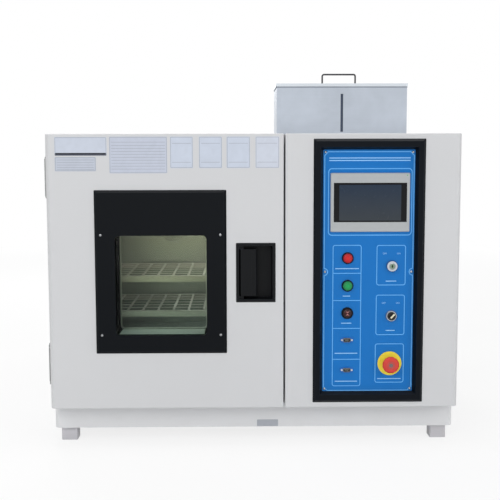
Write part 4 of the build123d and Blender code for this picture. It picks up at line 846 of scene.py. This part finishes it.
def makeSwitchWords(paleInk):
    look = switchWords
    for index, (word, x, z) in enumerate(look["words"]):
        name = "switchWord" + str(index)
        data = bpy.data.curves.new(name, "FONT")
        data.body = word
        data.size = look["size"] * mm
        data.extrude = look["halfThickness"] * mm
        data.align_x = "CENTER"
        piece = linkObject(name, data)
        piece.rotation_euler = (math.radians(90), 0, 0)
        piece.location = at(x, panelPrint["front"] - look["rise"], z)
        data.materials.append(paleInk)
        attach(piece, "cabinet")


makePanelLines()
captionInk = inkFinish("captionInk", panelBars["pale"])
makePanelBars(captionInk)
makeSwitchWords(captionInk)
print("panel print on")


# screen: the lit area and the small lamp beside it

display = {"x": (205.2, 354.9), "z": (555.8, 642.0), "corner": 1.0, "thickness": 0.1,
           "top": rgb(36, 50, 68), "bottom": rgb(54, 60, 66)}
led = {"x": 369.5, "z": 665.0, "radius": 1.3, "rise": 0.25, "thickness": 0.3, "edge": 0.1, "sides": 16,
       "tone": rgb(70, 170, 90)}


def displayFinish():
    # painted light: the screen's face is a bluish dark at the top and a lighter grey towards the bottom
    material, tree, shader = newFinish("displayFilm")
    low, high = display["z"]
    up = spread(tree, axesOf(tree, objectCoords(tree))[2], low * mm, high * mm, 0.0, 1.0)
    marks = place(tree, "handMarks", {"Roughness": 0.16, "Smear": 0.2, "Smear Scale": 26.0})
    setSockets(tree, shader, {"Base Color": mixColours(tree, up, display["bottom"], display["top"]),
                              "Roughness": marks["Roughness"], "Specular IOR Level": 0.15})
    return material


def makeDisplay():
    work = bmesh.new()
    addPlate(work, boxOutline(display["x"], display["z"], display["corner"], steps=2),
             frontDepth("screen_dark") - display["thickness"], display["thickness"])
    meshPiece("displayArea", work, "cabinet", displayFinish())


def makeLed():
    look = led
    work = bmesh.new()
    addDisc(work, look["x"], look["z"], look["radius"], frontDepth("screen_grey") - look["rise"],
            look["thickness"], look["edge"], look["sides"])
    finish = plasticFinish("ledLens", look["tone"], rough=0.2, grain=0.02)
    meshPiece("screenLed", work, "cabinet", finish)


# buzzer and emergency stop: the marks on their fronts

buzzer = {"x": 227.1, "z": 329.0, "half": 4.2, "narrow": 0.8, "gap": 0.4, "line": 0.9, "rise": 0.12,
          "thickness": 0.1, "tone": rgb(176, 120, 118)}
stopMark = {"x": 332.3, "z": 203.6, "radius": 5.4, "rise": 0.25, "edge": 0.1, "ringRadius": 8.4,
            "ringWidth": 0.9, "ringRise": 0.12, "sides": 28, "tone": rgb(120, 104, 104)}


def makeBuzzerMark():
    x, z, half, thickness = buzzer["x"], buzzer["z"], buzzer["half"], buzzer["thickness"]
    front = frontDepth("dark_red") - buzzer["rise"]
    reach = half * buzzer["narrow"]
    work = bmesh.new()
    for sign in (1, -1):
        corners = [(x - reach, z + sign * half), (x, z + sign * buzzer["gap"]), (x + reach, z + sign * half)]
        addPlate(work, corners, front, thickness)
    for sign in (1, -1):
        ends = [(x - half, z + sign * half), (x + half, z + sign * half)]
        addRibbon(work, ends, buzzer["line"], front + thickness, thickness, False)
    meshPiece("buzzerMark", work, "cabinet", inkFinish("buzzerInk", buzzer["tone"]))


def makeStopMark():
    look = stopMark
    front = frontDepth("stop_red")
    work = bmesh.new()
    addDisc(work, look["x"], look["z"], look["radius"], front - look["rise"], look["rise"], look["edge"])
    ring = circlePoints(look["x"], look["z"], look["ringRadius"], look["sides"])
    addRibbon(work, ring, look["ringWidth"], front, look["ringRise"])
    meshPiece("stopMark", work, "stop_head", inkFinish("stopInk", look["tone"]))


# switches: the selector's pointer, the key's face and keyway

pointer = {"x": 336.4, "z": 323.1, "length": 13.5, "width": 3.8, "lean": 47.0, "rise": 0.5,
           "thickness": 0.55, "edge": 0.15, "tone": rgb(226, 222, 196)}
keyway = {"x": 335.1, "z": 444.5, "face": 6.2, "faceRise": 0.15, "faceThickness": 0.2, "edge": 0.08,
          "length": 7.6, "width": 1.9, "hub": 2.0, "hubSides": 18, "slotRise": 0.25, "slotThickness": 0.12,
          "tone": rgb(24, 32, 26), "faceTone": rgb(120, 142, 124)}


def makePointer():
    look = pointer
    work = bmesh.new()
    addBar(work, look["x"], look["z"], look["length"], look["width"], frontDepth("cream") - look["rise"],
           look["thickness"], look["lean"], look["edge"])
    finish = plasticFinish("pointerCream", look["tone"], rough=0.4)
    meshPiece("selectorPointer", work, "selector", finish)


def makeKeyway():
    look = keyway
    x, z, front = look["x"], look["z"], depthOf(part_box("key_barrel")[0][1])
    work = bmesh.new()
    addDisc(work, x, z, look["face"], front - look["faceRise"], look["faceThickness"], look["edge"])
    finish = metalFinish("keyBrass", look["faceTone"], rough=0.4, streaks=(300.0, 300.0, 300.0))
    meshPiece("keyFace", work, "key", finish)
    work = bmesh.new()
    slotFront, thickness = front - look["slotRise"], look["slotThickness"]
    addBar(work, x, z, look["length"], look["width"], slotFront, thickness, 90)
    addDisc(work, x, z, look["hub"], slotFront, thickness, 0.0, look["hubSides"])
    meshPiece("keyway", work, "key", inkFinish("keywayDark", look["tone"]))


# sockets: black inserts and pins, and a finish that tells shell, screws and flange apart

sockets = {
    "x": 226.8, "size": (15.0, 7.4), "corner": 2.0, "floor": 6.4, "thickness": 2.0, "edge": 0.2,
    "rows": ((262.3, 0.12, 0.2), (187.6, 0.9, 1.0)),          # height, how far pins rise, their length
    "pinLines": ((1.3, 5), (-1.3, 4)), "pinPitch": 2.4, "pinRadius": 0.55, "pinSides": 10,
    "shellHalf": (8.7, 4.9), "screwX": 12.1, "screwRadius": 2.4,
    "tone": rgb(16, 17, 20), "pin": rgb(196, 196, 186), "flange": rgb(16, 104, 186),
    "shell": rgb(112, 116, 122), "screw": rgb(196, 200, 206),
}


def socketFinish():
    # the panel's film covers the flange, and leaves the shell and its jack screws bare
    look = sockets
    material, tree, shader = newFinish("socketShell")
    parts = axesOf(tree, objectCoords(tree))
    side = maths(tree, "ABSOLUTE", maths(tree, "SUBTRACT", parts[0], look["x"] * mm))
    rows = [maths(tree, "ABSOLUTE", maths(tree, "SUBTRACT", parts[2], row[0] * mm)) for row in look["rows"]]
    level = maths(tree, "MINIMUM", *rows)
    halfWidth, halfHeight = look["shellHalf"]
    shell = maths(tree, "LESS_THAN", side, halfWidth * mm)
    shell = maths(tree, "MULTIPLY", shell, maths(tree, "LESS_THAN", level, halfHeight * mm))
    fromScrew = maths(tree, "SUBTRACT", side, look["screwX"] * mm)
    square = maths(tree, "MULTIPLY", fromScrew, fromScrew)
    square = maths(tree, "ADD", square, maths(tree, "MULTIPLY", level, level))
    screw = maths(tree, "LESS_THAN", square, (look["screwRadius"] * mm) ** 2)
    skin = place(tree, "paintSkin", {"Color": look["flange"], "Roughness": 0.4})
    colour = mixColours(tree, shell, skin["Color"], look["shell"])
    colour = mixColours(tree, screw, colour, look["screw"])
    connect(tree, shader, skin, colour, {"Specular IOR Level": 0.3})
    return material


def makeSockets():
    look = sockets
    work, pins = bmesh.new(), bmesh.new()
    for z, rise, length in look["rows"]:
        outline = roundedOutline(look["x"], z, *look["size"], look["corner"])
        addPlate(work, outline, look["floor"], look["thickness"], look["edge"])
        for line, count in look["pinLines"]:
            for index in range(count):
                x = look["x"] + (index - (count - 1) / 2) * look["pinPitch"]
                addDisc(pins, x, z + line, look["pinRadius"], look["floor"] - rise, length, 0.0,
                        look["pinSides"])
    inserts = plasticFinish("socketBlack", look["tone"], rough=0.5)
    meshPiece("socketInserts", work, "cabinet", inserts)
    meshPiece("socketPins", pins, "cabinet", metalFinish("pinMetal", look["pin"], rough=0.25))
    refinish("data_ports", socketFinish())


for make in (makeDisplay, makeLed, makeBuzzerMark, makeStopMark, makePointer, makeKeyway, makeSockets):
    make()
print("device fronts on")


# tank: a dark strip under the lid's rim that is a painted shadow, and the lid with its drawn wire handle

lidShadowStrip = {"x": (65, 412), "depth": (250, 410), "z": 895.4, "height": 1.6, "inner": 0.02, "outer": 0.5,
           "tone": rgb(84, 92, 106)}
lidLook = {"topZ": 904.6, "tone": rgb(204, 210, 216), "wire": rgb(64, 64, 66)}


def makeLidShadowStrip():
    # a dark band round the tank just under the lid's rim: the rim's shadow, painted as a strip
    (x0, x1), (d0, d1) = lidShadowStrip["x"], lidShadowStrip["depth"]
    low, high = lidShadowStrip["z"] - lidShadowStrip["height"], lidShadowStrip["z"]
    inner, outer = lidShadowStrip["inner"], lidShadowStrip["outer"]
    work = bmesh.new()
    rings = []
    for z, out in ((low, inner), (low, outer), (high, outer), (high, inner)):
        corners = ((x0 - out, d0 - out), (x1 + out, d0 - out), (x1 + out, d1 + out), (x0 - out, d1 + out))
        rings.append([work.verts.new(at(x, depth, z)) for x, depth in corners])
    joinRings(work, rings + rings[:1])
    meshPiece("lidShadowStrip", work, "cabinet", plasticFinish("lidShadowPaint", lidShadowStrip["tone"], rough=0.6))


def lidFinish():
    # brushed sheet below, darker drawn wire above the lid's top
    material, tree, shader = newFinish("lidSteel")
    sheetSkin = place(tree, "brushedMetal", {"Color": lidLook["tone"], "Roughness": 0.34,
                                             "Tone Spread": 0.06, "Streaks": Vector((5.0, 5.0, 500.0))})
    dusted = place(tree, "settledDust", {"Color": sheetSkin["Color"], "Amount": 0.1, "Scuff Height": 0.0})
    wireSkin = place(tree, "brushedMetal", {"Color": lidLook["wire"], "Roughness": 0.4,
                                            "Tone Spread": 0.2, "Streaks": Vector((80.0, 80.0, 80.0))})
    height = axesOf(tree, objectCoords(tree))[2]
    above = maths(tree, "GREATER_THAN", height, lidLook["topZ"] * mm)
    colour = mixColours(tree, above, dusted["Color"], wireSkin["Color"])
    connect(tree, shader, sheetSkin, colour, {"Metallic": 1.0})
    return material


makeLidShadowStrip()
refinish("tank_lid", lidFinish())
print("tank trim on")


# rear: screws that hold the panel

rearScrews = {
    "x": (-470, -158, 158, 470), "z": (112, 748), "edgeSpots": ((-470, 430), (470, 430)),
    "radius": 4.2, "height": 1.6, "sides": 24,
    "profile": ((1.0, 0.0), (1.0, 0.35), (0.82, 0.8), (0.5, 1.0), (0.34, 1.0), (0.3, 0.55)),
}


def makeRearScrews():
    look = rearScrews
    depth = depthOf(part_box("rear_panel")[1][1])
    spots = [(x, z) for x in look["x"] for z in look["z"]] + list(look["edgeSpots"])
    work = bmesh.new()
    for cx, cz in spots:
        rings = []
        for out, rise in look["profile"]:
            circle = circlePoints(cx, cz, look["radius"] * out, look["sides"])
            rings.append([work.verts.new(at(x, depth + look["height"] * rise, z)) for x, z in circle])
        joinRings(work, rings)
        capRings(work, rings)
    meshPiece("rearScrews", work, "cabinet", finishes["zinc"])


makeRearScrews()
print("rear screws on")
